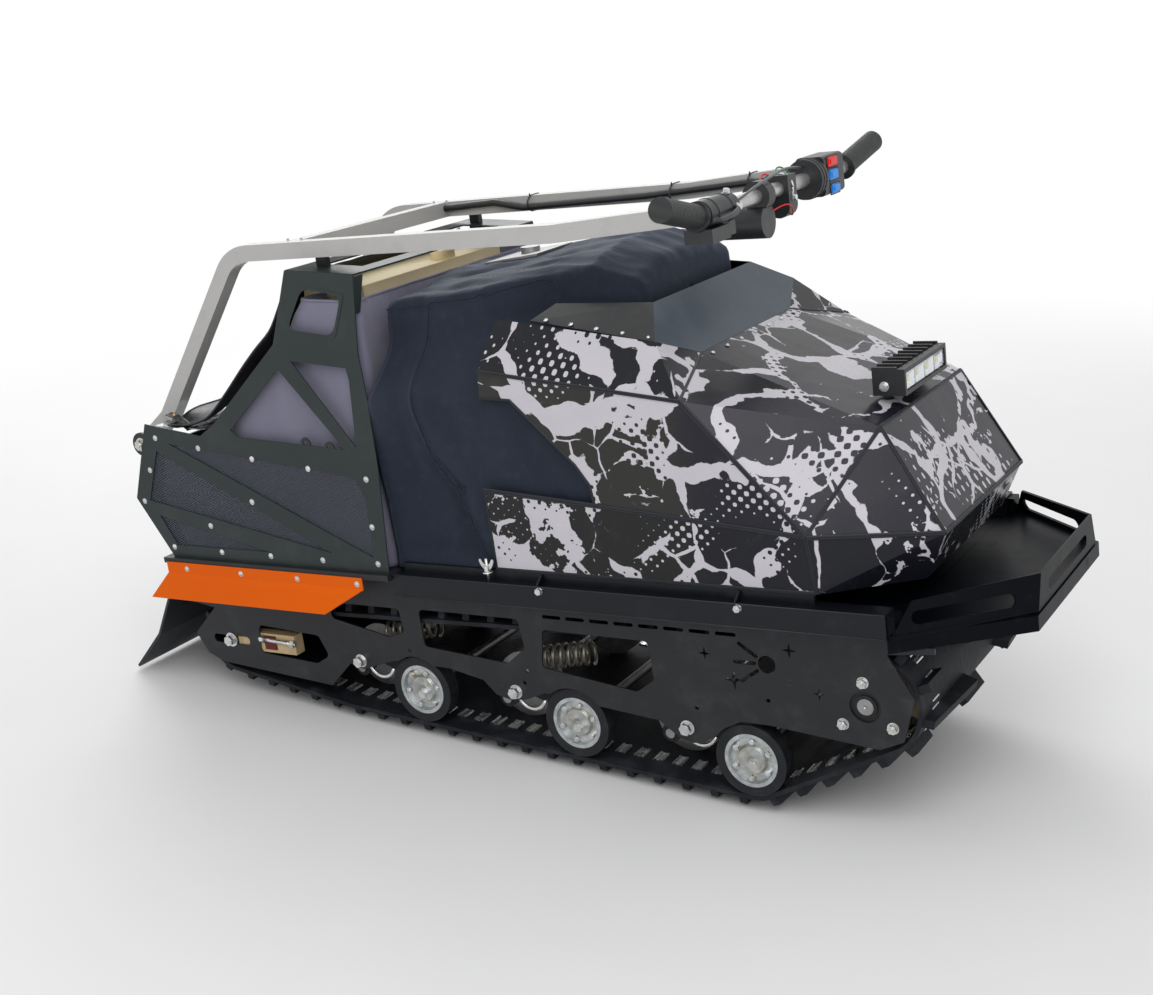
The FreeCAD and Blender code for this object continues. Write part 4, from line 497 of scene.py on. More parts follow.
bolts = Recipe("hex_bolts", Across=0.013, Height=0.006, Washer=0.018, Washer_Height=0.0016, Stud=0.003)
bolt_radius = bolts.times(bolts.inputs["Across"], 0.577)
bolt_washer = bolts.drum(20, bolts.times(bolts.inputs["Washer"], 0.5), bolts.inputs["Washer_Height"], -0.0004)
bolt_head = bolts.drum(6, bolt_radius, bolts.inputs["Height"], bolts.inputs["Washer_Height"])
bolt_foot = bolts.node("ShaderNodeMath", {"operation": "ADD"},
                       {0: bolts.inputs["Height"], 1: bolts.inputs["Washer_Height"]})
bolt_face = bolts.drum(18, bolts.times(bolts.inputs["Across"], 0.47), 0.0007, bolt_foot)
bolt_stud = bolts.drum(12, bolts.times(bolts.inputs["Across"], 0.29), bolts.inputs["Stud"], bolt_foot)
bolt_spin = bolts.node("ShaderNodeCombineXYZ", {}, {
    "Z": bolts.node("FunctionNodeRandomValue", {"data_type": "FLOAT"}, {2: 0.0, 3: 6.28, "Seed": 3}, 1)})
bolt_spin = bolts.node("FunctionNodeEulerToRotation", {}, {0: bolt_spin})
bolt_turn = bolts.node("FunctionNodeRotateRotation", {"rotation_space": "LOCAL"},
                       {0: bolts.aimed(), 1: bolt_spin})
bolts.close(bolts.node("GeometryNodeInstanceOnPoints", {}, {
    "Points": bolts.inputs["Base"], "Instance": bolts.joined(bolt_washer, bolt_head, bolt_face, bolt_stud),
    "Rotation": bolt_turn}))


def spots(places):
    """A base for fasteners: (point, outward direction) pairs in metres."""
    mesh = bpy.data.meshes.new("spots")
    mesh.from_pydata([tuple(point) for point, out in places], [], [])
    out = mesh.attributes.new("out", "FLOAT_VECTOR", "POINT")
    for value, (point, aim) in zip(out.data, places):
        value.vector = aim
    return stand("spots", mesh)


def both(places):
    """The same places on the right and the left side of the machine."""
    flip = Matrix.Diagonal((1, -1, 1))
    return places + [(flip @ point, flip @ aim) for point, aim in places]


def wheel_ring(radius, depth, count, start):
    """Places in a ring on each right-hand wheel's outer face."""
    ring = []
    for x in (1.0, 309.0, 617.0):
        for k in range(count):
            angle = start + 2 * math.pi * k / count + x
            ring.append((ground(x + radius * math.cos(angle), -250 + depth, 90 + radius * math.sin(angle)),
                         Vector((0, -1, 0))))
    return ring


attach(grow("hub_nuts", bolts, spots(both(wheel_ring(31, 6.9, 6, 0.3))), zinc, Across=0.009, Height=0.0045,
             Washer=0.0105, Washer_Height=0.0008, Stud=0.0022), "chassis")
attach(grow("axle_bolts", bolts, spots(both(wheel_ring(7, 1.9, 1, 4.2))), zinc, Across=0.014, Height=0.006,
             Washer=0.018, Washer_Height=0.0014, Stud=0.0006), "chassis")


# ------------------------------------------------------------------ suspension
# Flat steel bogie plates rock on studs in the side plates. Coil springs behind the plates push
# them down, and zinc-plated saddles stand under the studs.
black_steel = Finish("black_steel", Metallic=0.2, Specular_IOR_Level=0.3)
steel_dust = black_steel.cloud(0.06, 5.0).between(0.45, 0.8)
black_steel.wear(Base_Color=black_steel.mix(steel_dust * 0.5, shade(27, 29, 32), shade(62, 61, 58)),
                 Roughness=steel_dust * 0.2 + 0.42,
                 Normal=black_steel.relief(black_steel.cloud(0.0022, 3.0), 0.00012))
dress(black_steel, "bogie_arms", "bearing_carriers", "rear_beam")

turned_steel = Finish("turned_steel", Metallic=0.95)
turned_rings = turned_steel.cloud(0.0006, 2.0, place=turned_steel.stretched(1, 40, 1))
turned_steel.wear(Base_Color=turned_steel.mix(turned_steel.cloud(0.02, 4.0), shade(120, 118, 114),
                                              shade(176, 177, 178)),
                  Roughness=turned_rings * 0.2 + 0.28,
                  Normal=turned_steel.relief(turned_rings, 0.00004))
dress(turned_steel, "bogie_studs", "wheel_axles", "drive_shaft", "idler_axle")

springs = Recipe("coil_springs", Radius=0.019, Length=0.095, Wire=0.0032, Turns=7)
spring_line = springs.node("GeometryNodeCurveSpiral", {}, {
    "Resolution": 18, "Rotations": springs.inputs["Turns"], "Start Radius": springs.inputs["Radius"],
    "End Radius": springs.inputs["Radius"], "Height": springs.inputs["Length"]})
spring_round = springs.node("GeometryNodeCurvePrimitiveCircle", {},
                            {"Resolution": 8, "Radius": springs.inputs["Wire"]})
spring_body = springs.node("GeometryNodeCurveToMesh", {}, {"Curve": spring_line, "Profile Curve": spring_round,
                                                           "Fill Caps": True})
springs.close(springs.node("GeometryNodeInstanceOnPoints", {}, {
    "Points": springs.inputs["Base"], "Instance": spring_body, "Rotation": springs.aimed()}))


def mottled(name, low, high, colour, gloss, spread, least, grain, **constants):
    """A clouded finish. colour and gloss each give a cloud's size and detail.
    grain gives a bump's size, detail and depth."""
    made = Finish(name, **constants)
    made.wear(Base_Color=made.mix(made.cloud(*colour), low, high),
              Roughness=made.cloud(*gloss) * spread + least, Normal=made.bumps(grain))
    return made


spring_steel = mottled("spring_steel", shade(112, 106, 92), shade(176, 172, 160),
                       (0.008, 4.0), (0.01, 3.0), 0.2, 0.3, (0.002, 3.0, 0.0001), Metallic=0.7)
spring_feet = both([(chassis(221, -196, 146), heading(1, 0.28, 0.12)),
                    (chassis(-90, -196, 166), heading(1, 0.28, 0.12))])
spring_set = grow("suspension_springs", springs, spots(spring_feet), spring_steel)
for face in spring_set.data.polygons:
    face.use_smooth = True
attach(spring_set, "chassis")


def walls(rows, width, around=True):
    """Faces between rows of points that are numbered row after row, and round to each row's start if around."""
    return [(k * width + n, k * width + (n + 1) % width, (k + 1) * width + (n + 1) % width, (k + 1) * width + n)
            for k in range(rows - 1) for n in range(width if around else width - 1)]


def cap(row, width):
    """The one face that closes a row."""
    return tuple(range(row * width, (row + 1) * width))


def tube(name, points, radius, finish, sides=12):
    """A round bar along points in metres, closed at both ends."""
    rings = []
    count = len(points)
    for k, point in enumerate(points):
        ahead = points[min(k + 1, count - 1)] - points[max(k - 1, 0)]
        turn_to = ahead.to_track_quat("Z", "Y")
        for n in range(sides):
            angle = 2 * math.pi * n / sides
            rings.append(point + turn_to @ Vector((radius * math.cos(angle), radius * math.sin(angle), 0)))
    faces = walls(count, sides) + [cap(0, sides), cap(count - 1, sides)]
    return make(name, rings, faces, finish, True)


def join(name, pieces):
    """Several pieces with one finish as one."""
    shell = bmesh.new()
    for piece in pieces:
        shell.from_mesh(piece.data)
    mesh = bpy.data.meshes.new(name)
    shell.to_mesh(mesh)
    shell.free()
    mesh.materials.append(pieces[0].data.materials[0])
    for piece in pieces:
        bpy.data.objects.remove(piece)
    return stand(name, mesh)


saddles = []
for x in (-119.0, 189.0, 497.0):
    for side in (-1, 1):
        arc = [ground(x + 34 + 27 * math.cos(a), side * 246, 124 + 27 * math.sin(a))
               for a in [math.radians(-165 + 15 * k) for k in range(11)]]
        saddles.append(tube("saddle", arc, 0.0035, zinc, 8))
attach(join("stud_saddles", saddles), "chassis")


# ------------------------------------------------------------------ drive
# A turned steel shaft across the nose carries two toothed wheels moulded in pale nylon.
# It runs in bearing carriers that three bolts each hold to the side plates.
nylon = Finish("moulded_nylon", Specular_IOR_Level=0.45)
nylon_stain = nylon.cloud(0.03, 4.0).between(0.4, 0.8)
nylon.wear(Base_Color=nylon.mix(nylon_stain * 0.6, shade(196, 172, 132), shade(140, 118, 88)),
           Roughness=nylon_stain * 0.2 + 0.42, Normal=nylon.relief(nylon.cloud(0.003), 0.00015))
dress(nylon, "drive_sprockets", "tension_blocks")

bearing_spots = both([(chassis(x, -257, z), Vector((0, -1, 0)))
                      for x, z in ((817, 194), (782, 126), (858, 128))])
collar = grow("bearing_bolts", bolts, spots(bearing_spots), zinc, Stud=0.004)
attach(collar, "chassis")


# ------------------------------------------------------------------ idler and its tensioners
# Rubber-rimmed wheels turn the belt round at the rear. A long bolt through each pale block pulls
# the axle back along its slot, and a dark red wooden packer keeps the block square.
dress(tyre, "idler_wheels")
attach(grow("idler_axle_bolts", bolts, spots(both([(chassis(-411.4, -257, 145.1), Vector((0, -1, 0)))])), zinc,
             Across=0.017, Height=0.009, Washer=0.027, Washer_Height=0.002, Stud=0.001), "chassis")

packer_wood = Finish("red_packer", Specular_IOR_Level=0.3)
packer_grain = packer_wood.cloud(0.004, 4.0, place=packer_wood.stretched(0.2, 1, 1))
packer_wood.wear(Base_Color=packer_wood.mix(packer_grain, shade(74, 24, 24), shade(112, 42, 36)),
                 Roughness=packer_grain * 0.2 + 0.5, Normal=packer_wood.relief(packer_grain, 0.0003))


def block(name, low, high, finish, edge=1.0):
    """A block between two corners on the chassis, in millimetres, with rounded edges."""
    shell = bmesh.new()
    bmesh.ops.create_cube(shell, size=1.0)
    for corner in shell.verts:
        corner.co = Vector([low[i] + (corner.co[i] + 0.5) * (high[i] - low[i]) for i in range(3)])
    bmesh.ops.bevel(shell, geom=shell.edges[:], offset=edge, segments=2, affect="EDGES")
    for corner in shell.verts:
        corner.co = chassis(*corner.co)
    bmesh.ops.recalc_face_normals(shell, faces=shell.faces)
    mesh = bpy.data.meshes.new(name)
    shell.to_mesh(mesh)
    shell.free()
    mesh.materials.append(finish.material)
    return stand(name, mesh)


packers = []
rods = []
for side in (-1, 1):
    ys = sorted((side * 256.4, side * 253.0))
    packers.append(block("packer", (-333, ys[0], 133), (-305, ys[1], 159), packer_wood))
    rods.append(tube("rod", [chassis(-330 + 62 * k / 4, side * 257.5, 153 - 3 * k / 4) for k in range(5)],
                     0.0042, zinc))
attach(join("tensioner_packers", packers), "chassis")
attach(join("tensioner_rods", rods), "chassis")
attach(grow("tensioner_nuts", bolts, spots(both([(chassis(-268, -257.5, 150), heading(1, 0, -0.05)),
                                                  (chassis(-330, -257.5, 153), heading(-1, 0, 0.05))])), zinc,
             Across=0.012, Height=0.007, Washer=0.0125, Washer_Height=0.001, Stud=0.004), "chassis")


# ------------------------------------------------------------------ side plates, deck and rails
# Laser-cut steel plates, powder-coated satin black-brown, carry the running gear.
# Square rails along their upper edges hold the hood's foot, stiffened by small gussets.
coat = Finish("powder_coat", Specular_IOR_Level=0.3)
coat_large = coat.cloud(0.25, 3.0)
coat_dust = coat.cloud(0.05, 6.0, 0.62).between(0.46, 0.8)
coat_scratch = coat.cloud(0.004, 4.0, place=coat.stretched(0.12, 1.0, 1.0)).between(0.7, 0.76)
coat_colour = coat.mix(coat_large, shade(27, 29, 33), shade(37, 38, 40))
coat_colour = coat.mix(coat_dust * 0.3, coat_colour, shade(74, 77, 82))
coat.wear(Base_Color=coat.mix(coat_scratch * 0.3, coat_colour, shade(104, 106, 110)),
          Roughness=coat_dust * 0.18 + 0.36,
          Normal=coat.bumps((0.0011, 2.0, 0.00006), (0.09, 2.0, 0.0012)))
dress(coat, "side_plate_right", "side_plate_left", "cage_ledges")

dark_coat = Finish("dark_powder_coat", Specular_IOR_Level=0.28)
dark_dust = dark_coat.cloud(0.05, 6.0, 0.62).between(0.5, 0.85)
dark_coat.wear(Base_Color=dark_coat.mix(dark_dust * 0.35, shade(12, 15, 21), shade(46, 50, 58)),
               Roughness=dark_dust * 0.2 + 0.33,
               Normal=dark_coat.bumps((0.0012, 2.0, 0.00006), (0.08, 2.0, 0.0010)))
dress(dark_coat, "side_rails", "tow_hitch", "rest_buffers")

# The deck pan and front bumper take a darker, less glossy copy of the rails' dark powder coat: painted shade for
# the shadow they lie in. Its scuffs are real wear.
deck_coat_painted_shade = Finish("deck_coat_painted_shade", Specular_IOR_Level=0.07)
deck_scuff = deck_coat_painted_shade.cloud(0.03, 6.0, 0.62).between(0.55, 0.85)
deck_coat_painted_shade.wear(Base_Color=deck_coat_painted_shade.mix(deck_scuff * 0.3, shade(5, 8, 13), shade(40, 45, 54)),
               Roughness=deck_scuff * 0.2 + 0.36,
               Normal=deck_coat_painted_shade.bumps((0.0012, 2.0, 0.00006), (0.1, 2.0, 0.0012)))
dress(deck_coat_painted_shade, "deck_pan", "front_bumper")

pivot_nuts = both([(chassis(x, -257, z), Vector((0, -1, 0)))
                   for x, z in ((-110, 134), (210, 112), (523, 87.5))])
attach(grow("bogie_bolts", bolts, spots(pivot_nuts), zinc, Across=0.017, Height=0.010, Washer=0.024,
             Washer_Height=0.002, Stud=0.001), "chassis")


def slab(name, outline, depth, finish, edge=0.6):
    """A flat plate: its outline in metres, thickened by a vector, with rounded edges."""
    points = list(outline) + [point + depth for point in outline]
    count = len(outline)
    faces = [tuple(range(count)), tuple(range(2 * count - 1, count - 1, -1))]
    faces += [(k, (k + 1) % count, count + (k + 1) % count, count + k) for k in range(count)]
    made = make(name, points, faces, finish)
    if edge:
        shell = bmesh.new()
        shell.from_mesh(made.data)
        bmesh.ops.bevel(shell, geom=shell.edges[:], offset=edge / 1000, segments=2, affect="EDGES")
        shell.to_mesh(made.data)
        shell.free()
    return made


gussets = []
for x in (299.0, 641.0):
    for side in (-1, 1):
        outline = [chassis(x, side * 272.4, 313.2), chassis(x, side * 290.6, 313.2),
                   chassis(x, side * 272.4, 327)]
        gussets.append(slab("gusset", outline, heading(1, 0, 0) * 0.004, dark_coat, 0.3))
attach(join("rail_gussets", gussets), "chassis")
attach(grow("gusset_bolts", bolts, spots(both([(chassis(x, -291, 306), Vector((0, -1, 0)))
                                                for x in (306, 648)])), zinc, Across=0.010, Height=0.005,
             Washer=0.012, Washer_Height=0.001, Stud=0.0015), "chassis")

lips = []
for side in (-1, 1):
    for z in (312.2, 276.4):
        line = [chassis(x, side * 290.8, z) for x in (18, 445, 870)]
        lips.append(tube("lip", line, 0.0012, coat, 6))
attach(join("rail_edges", lips), "chassis")

wings = []
wing_x, wing_y = 206, 282
wing_shape = ((2, 332), (5, 331), (11, 338), (14, 346), (13, 349), (10, 349), (7, 343), (2, 339))
for side in (-1, 1):
    for lean in (-1, 1):
        outline = [chassis(wing_x + lean * x, side * (wing_y - 1), z) for x, z in wing_shape]
        wings.append(slab("wing", outline, Vector((0, side * 0.0024, 0)), zinc, 0.6))
    for name, heights, radius, sides in (("boss", (328, 329, 338, 339), 0.0052, 12),
                                         ("washer", (326.5, 328), 0.0085, 20),
                                         ("stud", (313, 330, 350), 0.0026, 12)):
        wings.append(tube(name, [chassis(wing_x, side * wing_y, z) for z in heights], radius, zinc, sides))
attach(join("wing_nuts", wings), "chassis")


# ------------------------------------------------------------------ hood
# Two folded steel sheets that meet along a belt line, painted dark and covered with a printed film:
# pale crackle with half-tone dots. Ridged strips cover the joints and folds.
HOOD_LEAN = 0.12


def hood_side(x, z):
    """A point on the hood's leaning right side, in millimetres."""
    return (x, -272 - HOOD_LEAN * (z - 328), z)


film = Finish("printed_film", Specular_IOR_Level=0.22, Coat_Weight=0.09, Coat_Roughness=0.12)
film_x, film_y, film_z = film.axes()
film_sway = film.node("ShaderNodeTexNoise", {}, {"Vector": film.place, "Scale": 8.0, "Detail": 2.5,
                                                 "Roughness": 0.5}, 1)
film_bent = film.node("ShaderNodeVectorMath", {"operation": "MULTIPLY_ADD"},
                      {0: film_sway, 1: (0.10, 0.10, 0.10), 2: film.place})


def crackle(size, seed):
    """The distance to the nearest crack of a shattered pattern, for cells that many metres across."""
    shifted = film.node("ShaderNodeVectorMath", {"operation": "ADD"},
                        {0: film_bent, 1: (seed, seed * 0.7, seed * 1.3)})
    return film.node("ShaderNodeTexVoronoi", {"feature": "DISTANCE_TO_EDGE"},
                     {"Vector": shifted, "Scale": 1 / size})


film_ragged = film.cloud(0.012, 3.0, 0.6) - 0.5
main_width = film.cloud(0.075, 2.0).between(0.36, 0.66) * 0.088 + 0.004
main_veins = (main_width + film_ragged * 0.045 - crackle(0.145, 3.1)).between(0.0, 0.006)
fine_zone = film.cloud(0.15, 2.0, place=film.stretched(1.0, 1.2, 1.1)).between(0.47, 0.62)
fine_veins = (fine_zone * 0.062 + film_ragged * 0.05 - 0.012 - crackle(0.075, 7.7)).between(0.0, 0.012)
film_along = film_x * math.cos(PITCH) + film_z * math.sin(PITCH) - SHIFT * math.cos(PITCH)
film_up = film_z * math.cos(PITCH) - film_x * math.sin(PITCH) + SHIFT * math.sin(PITCH)
above_crease = (film_up + film_along * 0.1313).between(0.694, 0.6945)
below_belt = (film_up + film_along * 0.0859).between(0.4855, 0.485)
foot_patch = below_belt * film_along.between(0.52, 0.28)
flood = (film.cloud(0.06, 4.0, 0.6) + foot_patch * 0.16).between(0.655, 0.662)
pale = main_veins.largest(fine_veins).largest(flood)

film_facing = film.node("ShaderNodeNewGeometry", {}, {}, "True Normal")
facing_x, _, facing_z = film.axes(film_facing)
on_top = facing_z > 0.5
on_front = (facing_x > 0.72) * (1 - on_top)
DOTS = 2 * math.pi / 0.0195
dots = ((film_x * (1 - on_front) + film_y * on_front) * DOTS).wave() * (
    (film_z * (1 - on_top) + film_y * on_top) * DOTS).wave()
dark_zone = film.cloud(0.13, 1.0, place=film.stretched(0.9, 1.0, 1.1)).between(0.46, 0.66)
dark_dots = (dots + dark_zone * 0.95).between(1.12, 1.22) * pale
light_zone = film.cloud(0.17, 1.0, place=film.stretched(1.1, 0.9, 1.2)).between(0.50, 0.70)
light_dots = (dots + light_zone * 0.9 + foot_patch * 0.25).between(1.18, 1.26) * (1 - pale)
print_mask = pale - dark_dots + light_dots
film_black = film.mix(film.cloud(0.3, 1.0), shade(10, 12, 18), shade(18, 20, 27))
film_olive = film.mix(film_along.between(0.55, 0.62), shade(44, 44, 41), shade(28, 28, 38))
film_dark = film.mix((below_belt * 0.6).largest(above_crease), film_olive, film_black)
film_pale = film.mix(film.cloud(0.06, 3.0), shade(184, 181, 189), shade(201, 198, 204))
film_colour = film.mix(print_mask, film_dark, film_pale)
film_dust = film.cloud(0.03, 6.0).between(0.55, 0.85)
film.wear(Base_Color=film.mix(film_dust * 0.10, film_colour, shade(110, 108, 106)),
          Roughness=film_dust * 0.15 + 0.27,
          Normal=film.relief(print_mask, 0.00005, film.relief(film.cloud(0.12, 2.0), 0.0016)))
dress(film, "hood_lower", "hood_upper")

strip_coat = Finish("ribbed_trim", Specular_IOR_Level=0.35)
strip_grain = strip_coat.cloud(0.0012, 2.0, place=strip_coat.stretched(0.1, 0.1, 1))
strip_coat.wear(Base_Color=strip_coat.mix(strip_coat.cloud(0.04, 4.0), shade(20, 23, 28), shade(36, 39, 44)),
                Roughness=strip_grain * 0.2 + 0.38, Normal=strip_coat.relief(strip_grain, 0.0003))


def ribbon(name, line, outs, width, height, finish):
    """A flat strip with chamfered edges along points, each with its outward direction."""
    section = ((-0.5, -0.3), (-0.5, 0.45), (-0.34, 1.0), (-0.08, 1.0), (0.0, 0.6), (0.08, 1.0), (0.34, 1.0),
               (0.5, 0.45), (0.5, -0.3))
    points = []
    for k, (point, out) in enumerate(zip(line, outs)):
        ahead = (line[min(k + 1, len(line) - 1)] - line[max(k - 1, 0)]).normalized()
        side = ahead.cross(out).normalized()
        rise = side.cross(ahead).normalized()
        for offset, lift in section:
            points.append(point + side * (offset * width) + rise * (lift * height))
    ends = [cap(0, len(section)), cap(len(line) - 1, len(section))]
    return make(name, points, walls(len(line), len(section)) + ends, finish)


def mirrored(line):
    return [Vector((point.x, -point.y, point.z)) for point in line]


def both_ribbons(name, corners, out, width, height):
    """Ribbons along corners in millimetres on the right side and along their mirror image."""
    line = [chassis(*corner) for corner in corners]
    aim = heading(*out)
    outs = [aim] * len(line)
    return [ribbon(name, line, outs, width, height, strip_coat),
            ribbon(name, mirrored(line), mirrored(outs), width, height, strip_coat)]


side_out = (0, -1, -HOOD_LEAN)
hood_shoulder = hood_side(597, 616)
hood_cheek = hood_side(760, 417)
nose_top = (838, -173, 548)
nose_foot = (925, -180, 399)
trims = []
for corners, out, width, height in (
        ([hood_side(226, 466), hood_side(424, 449), hood_cheek], side_out, 0.008, 0.0018),
        ([hood_side(262, 660), hood_shoulder], (0, -1, 0.25), 0.006, 0.0016),
        ([hood_shoulder, hood_cheek], (0.25, -1, 0), 0.007, 0.0016),
        ([hood_side(762, 416), nose_foot], (0.6, -1, 0), 0.007, 0.0016),
        ([hood_side(765, 330), hood_cheek], (0.3, -1, 0), 0.005, 0.0014),
        ([hood_cheek, nose_top], (0.6, -1, 0.3), 0.006, 0.0015),
        ([nose_foot, nose_top], (1, -0.6, 0.4), 0.006, 0.0015),
        ([hood_shoulder, (562, -159, 653)], (0.3, -0.5, 1), 0.005, 0.0014)):
    trims += both_ribbons("trim", corners, out, width, height)
front_line = [chassis(838, y, 548) for y in (-173, 0, 173)]
trims.append(ribbon("trim", front_line, [heading(0.6, 0, 1)] * 3, 0.006, 0.0015, strip_coat))
belt_front = [chassis(925, y, 399) for y in (-180, 0, 180)]
trims.append(ribbon("trim", belt_front, [heading(1, 0, 0.1)] * 3, 0.007, 0.0016, strip_coat))
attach(join("hood_trims", trims), "chassis")

edges = []
edges += both_ribbons("edge", [hood_side(*corner) for corner in [(256, 618), (310, 615), (361, 560), (403, 514),
                                                                 (422, 482), (424, 450)]],
                      side_out, 0.0045, 0.0012)
edges += both_ribbons("edge", [hood_side(218, 330), hood_side(763, 330)], side_out, 0.006, 0.0014)
edges += both_ribbons("edge", [hood_side(218, 329), hood_side(227, 464)], side_out, 0.004, 0.0012)
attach(join("hood_edges", edges), "chassis")


# ------------------------------------------------------------------ air scoop
# A bent satin blue-grey sheet on the hood's crown that takes in cooling air, open at its back.
# Small dome-headed screws hold its foot.
scoop_paint = Finish("scoop_paint", Specular_IOR_Level=0.22, Coat_Weight=0.1, Coat_Roughness=0.2)
scoop_dust = scoop_paint.cloud(0.05, 6.0).between(0.5, 0.85)
# One paint throughout: the forward-facing facets are painted lighter and bluer as painted light, and the other
# faces darker as painted shade. The dust is real.
scoop_facing_for_painted_light = scoop_paint.node("ShaderNodeNewGeometry", {}, {}, "True Normal")
scoop_painted_light_and_shade = scoop_paint.mix(scoop_paint.axes(scoop_facing_for_painted_light)[0].between(0.3, 0.4), shade(19, 21, 23),
                             shade(62, 73, 84))
scoop_paint.wear(Base_Color=scoop_paint.mix(scoop_dust * 0.25, scoop_painted_light_and_shade, shade(92, 100, 110)),
                 Roughness=scoop_dust * 0.2 + 0.3,
                 Normal=scoop_paint.bumps((0.0012, 3.0, 0.00006), (0.1, 2.0, 0.0012)))
dress(scoop_paint, "air_scoop")

rivets = Recipe("dome_rivets", Width=0.008, Height=0.0028)
rivet_dome = rivets.node("GeometryNodeMeshUVSphere", {}, {"Segments": 12, "Rings": 6, "Radius": 1.0})
rivet_flat = rivets.drum(12, 1.25, 0.25, -0.12)
rivet_size = rivets.node("ShaderNodeCombineXYZ", {}, {
    "X": rivets.times(rivets.inputs["Width"], 0.4), "Y": rivets.times(rivets.inputs["Width"], 0.4),
    "Z": rivets.inputs["Height"]})
rivets.close(rivets.node("GeometryNodeInstanceOnPoints", {}, {
    "Points": rivets.inputs["Base"], "Instance": rivets.joined(rivet_dome, rivet_flat),
    "Rotation": rivets.aimed(),
    "Scale": rivet_size}))


def between_points(first, last, count):
    """Evenly spaced points between two corners, in millimetres."""
    return [tuple(a + (b - a) * k / (count - 1) for a, b in zip(first, last)) for k in range(count)]


scoop_foot = [(chassis(*point), heading(0.35, 0, 1))
              for point in between_points((574, -146, 650), (574, 146, 650), 7)]
scoop_sides = [(chassis(*point), heading(0, -0.5, 1))
               for point in between_points((350, -241, 722), (520, -238, 693), 5)]
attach(grow("scoop_screws", rivets, spots(scoop_foot + both(scoop_sides)), zinc, Width=0.007, Height=0.0024),
        "chassis")


# ------------------------------------------------------------------ front lamp
# A work lamp in a finned black die-cast body stands on the nose. Four polished reflectors
# with small yellowish emitters sit behind its clear pane.
cast_black = mottled("cast_black", shade(26, 27, 29), shade(44, 45, 47),
                     (0.01, 4.0), (0.004, 3.0), 0.2, 0.36, (0.0015, 3.0, 0.0001), Metallic=0.3,
                     Specular_IOR_Level=0.5)
dress(cast_black, "lamp_housing")

chrome = mottled("reflector_chrome", shade(216, 219, 224), shade(236, 238, 240),
                 (0.01, 3.0), (0.006, 3.0), 0.08, 0.06, (0.003, 3.0, 0.00008), Metallic=1.0)
emitter = Finish("emitter_phosphor", Emission_Strength=0.25)
emitter.wear(Base_Color=emitter.mix(emitter.cloud(0.002), shade(226, 206, 120), shade(240, 226, 160)),
             Emission_Color=emitter.mix(emitter.cloud(0.002), shade(240, 226, 170), shade(250, 240, 200)),
             Roughness=emitter.cloud(0.002) * 0.2 + 0.4)
pane = Finish("lamp_pane", Transmission_Weight=1.0, IOR=1.45)
pane.wear(Base_Color=pane.mix(pane.cloud(0.02), shade(236, 240, 244), shade(246, 248, 250)),
          Roughness=pane.cloud(0.02, 5.0).between(0.5, 0.8) * 0.08 + 0.02)

lens_low, lens_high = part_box("lamp_lens")
lens_ahead = heading(1, 0, 0)
lens_up = heading(0, 0, 1)
lens_middle = (lens_low + lens_high) / 2
lens_half_y = (lens_high.y - lens_low.y) / 2
lens_half_z = 0.0125


def lens_point(ahead, y, up):
    return lens_middle + lens_ahead * ahead + Vector((0, y, 0)) + lens_up * up


bowls = []
emitters = []
cell = lens_half_y / 2
bowl_sides = 24
bowl_shape = ((1.0, 0.0018), (0.92, 0.0008), (0.7, -0.0004), (0.45, -0.0012), (0.2, -0.0017), (0.06, -0.0018))
chip_half = 0.0042
for k in range(4):
    middle_y = -lens_half_y + cell * (k + 0.5)
    rings = []
    for reach, ahead in bowl_shape:
        for n in range(bowl_sides):
            angle = 2 * math.pi * n / bowl_sides
            square = 1 / max(abs(math.cos(angle)), abs(math.sin(angle)))
            spread = reach * (square * reach + (1 - reach))
            rings.append(lens_point(ahead, middle_y + math.cos(angle) * spread * cell * 0.48,
                                    math.sin(angle) * spread * lens_half_z * 0.96))
    bowl_faces = walls(len(bowl_shape), bowl_sides) + [cap(len(bowl_shape) - 1, bowl_sides)]
    bowls.append(make("bowl", rings, bowl_faces, chrome, True))
    chip = [lens_point(-0.0012, middle_y + a * chip_half, b * chip_half)
            for a, b in ((-1, -1), (1, -1), (1, 1), (-1, 1))]
    emitters.append(slab("chip", chip, lens_ahead * 0.0012, emitter, 0.3))
lamp_bowls = join("lamp_reflectors", bowls)
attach(lamp_bowls, "chassis")
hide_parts("lamp_lens")
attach(join("lamp_emitters", emitters), "chassis")
pane_outline = [lens_point(0.0026, a * (lens_half_y - 0.0004), b * (lens_half_z - 0.0002))
                for a, b in ((-1, -1), (1, -1), (1, 1), (-1, 1))]
lamp_pane = slab("lamp_pane", pane_outline, lens_ahead * 0.0014, pane, 0.4)
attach(lamp_pane, "chassis")
lamp_low, lamp_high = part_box("lamp_housing")
lamp_screws = [(Vector((lamp_low.x + 0.02, y, (lamp_low.z + lamp_high.z) / 2)), Vector((0, y, 0)).normalized())
               for y in (lamp_low.y, lamp_high.y)]
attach(grow("lamp_bolts", bolts, spots(lamp_screws), zinc, Across=0.010, Height=0.005, Washer=0.015,
             Washer_Height=0.0012, Stud=0.0005), "chassis")


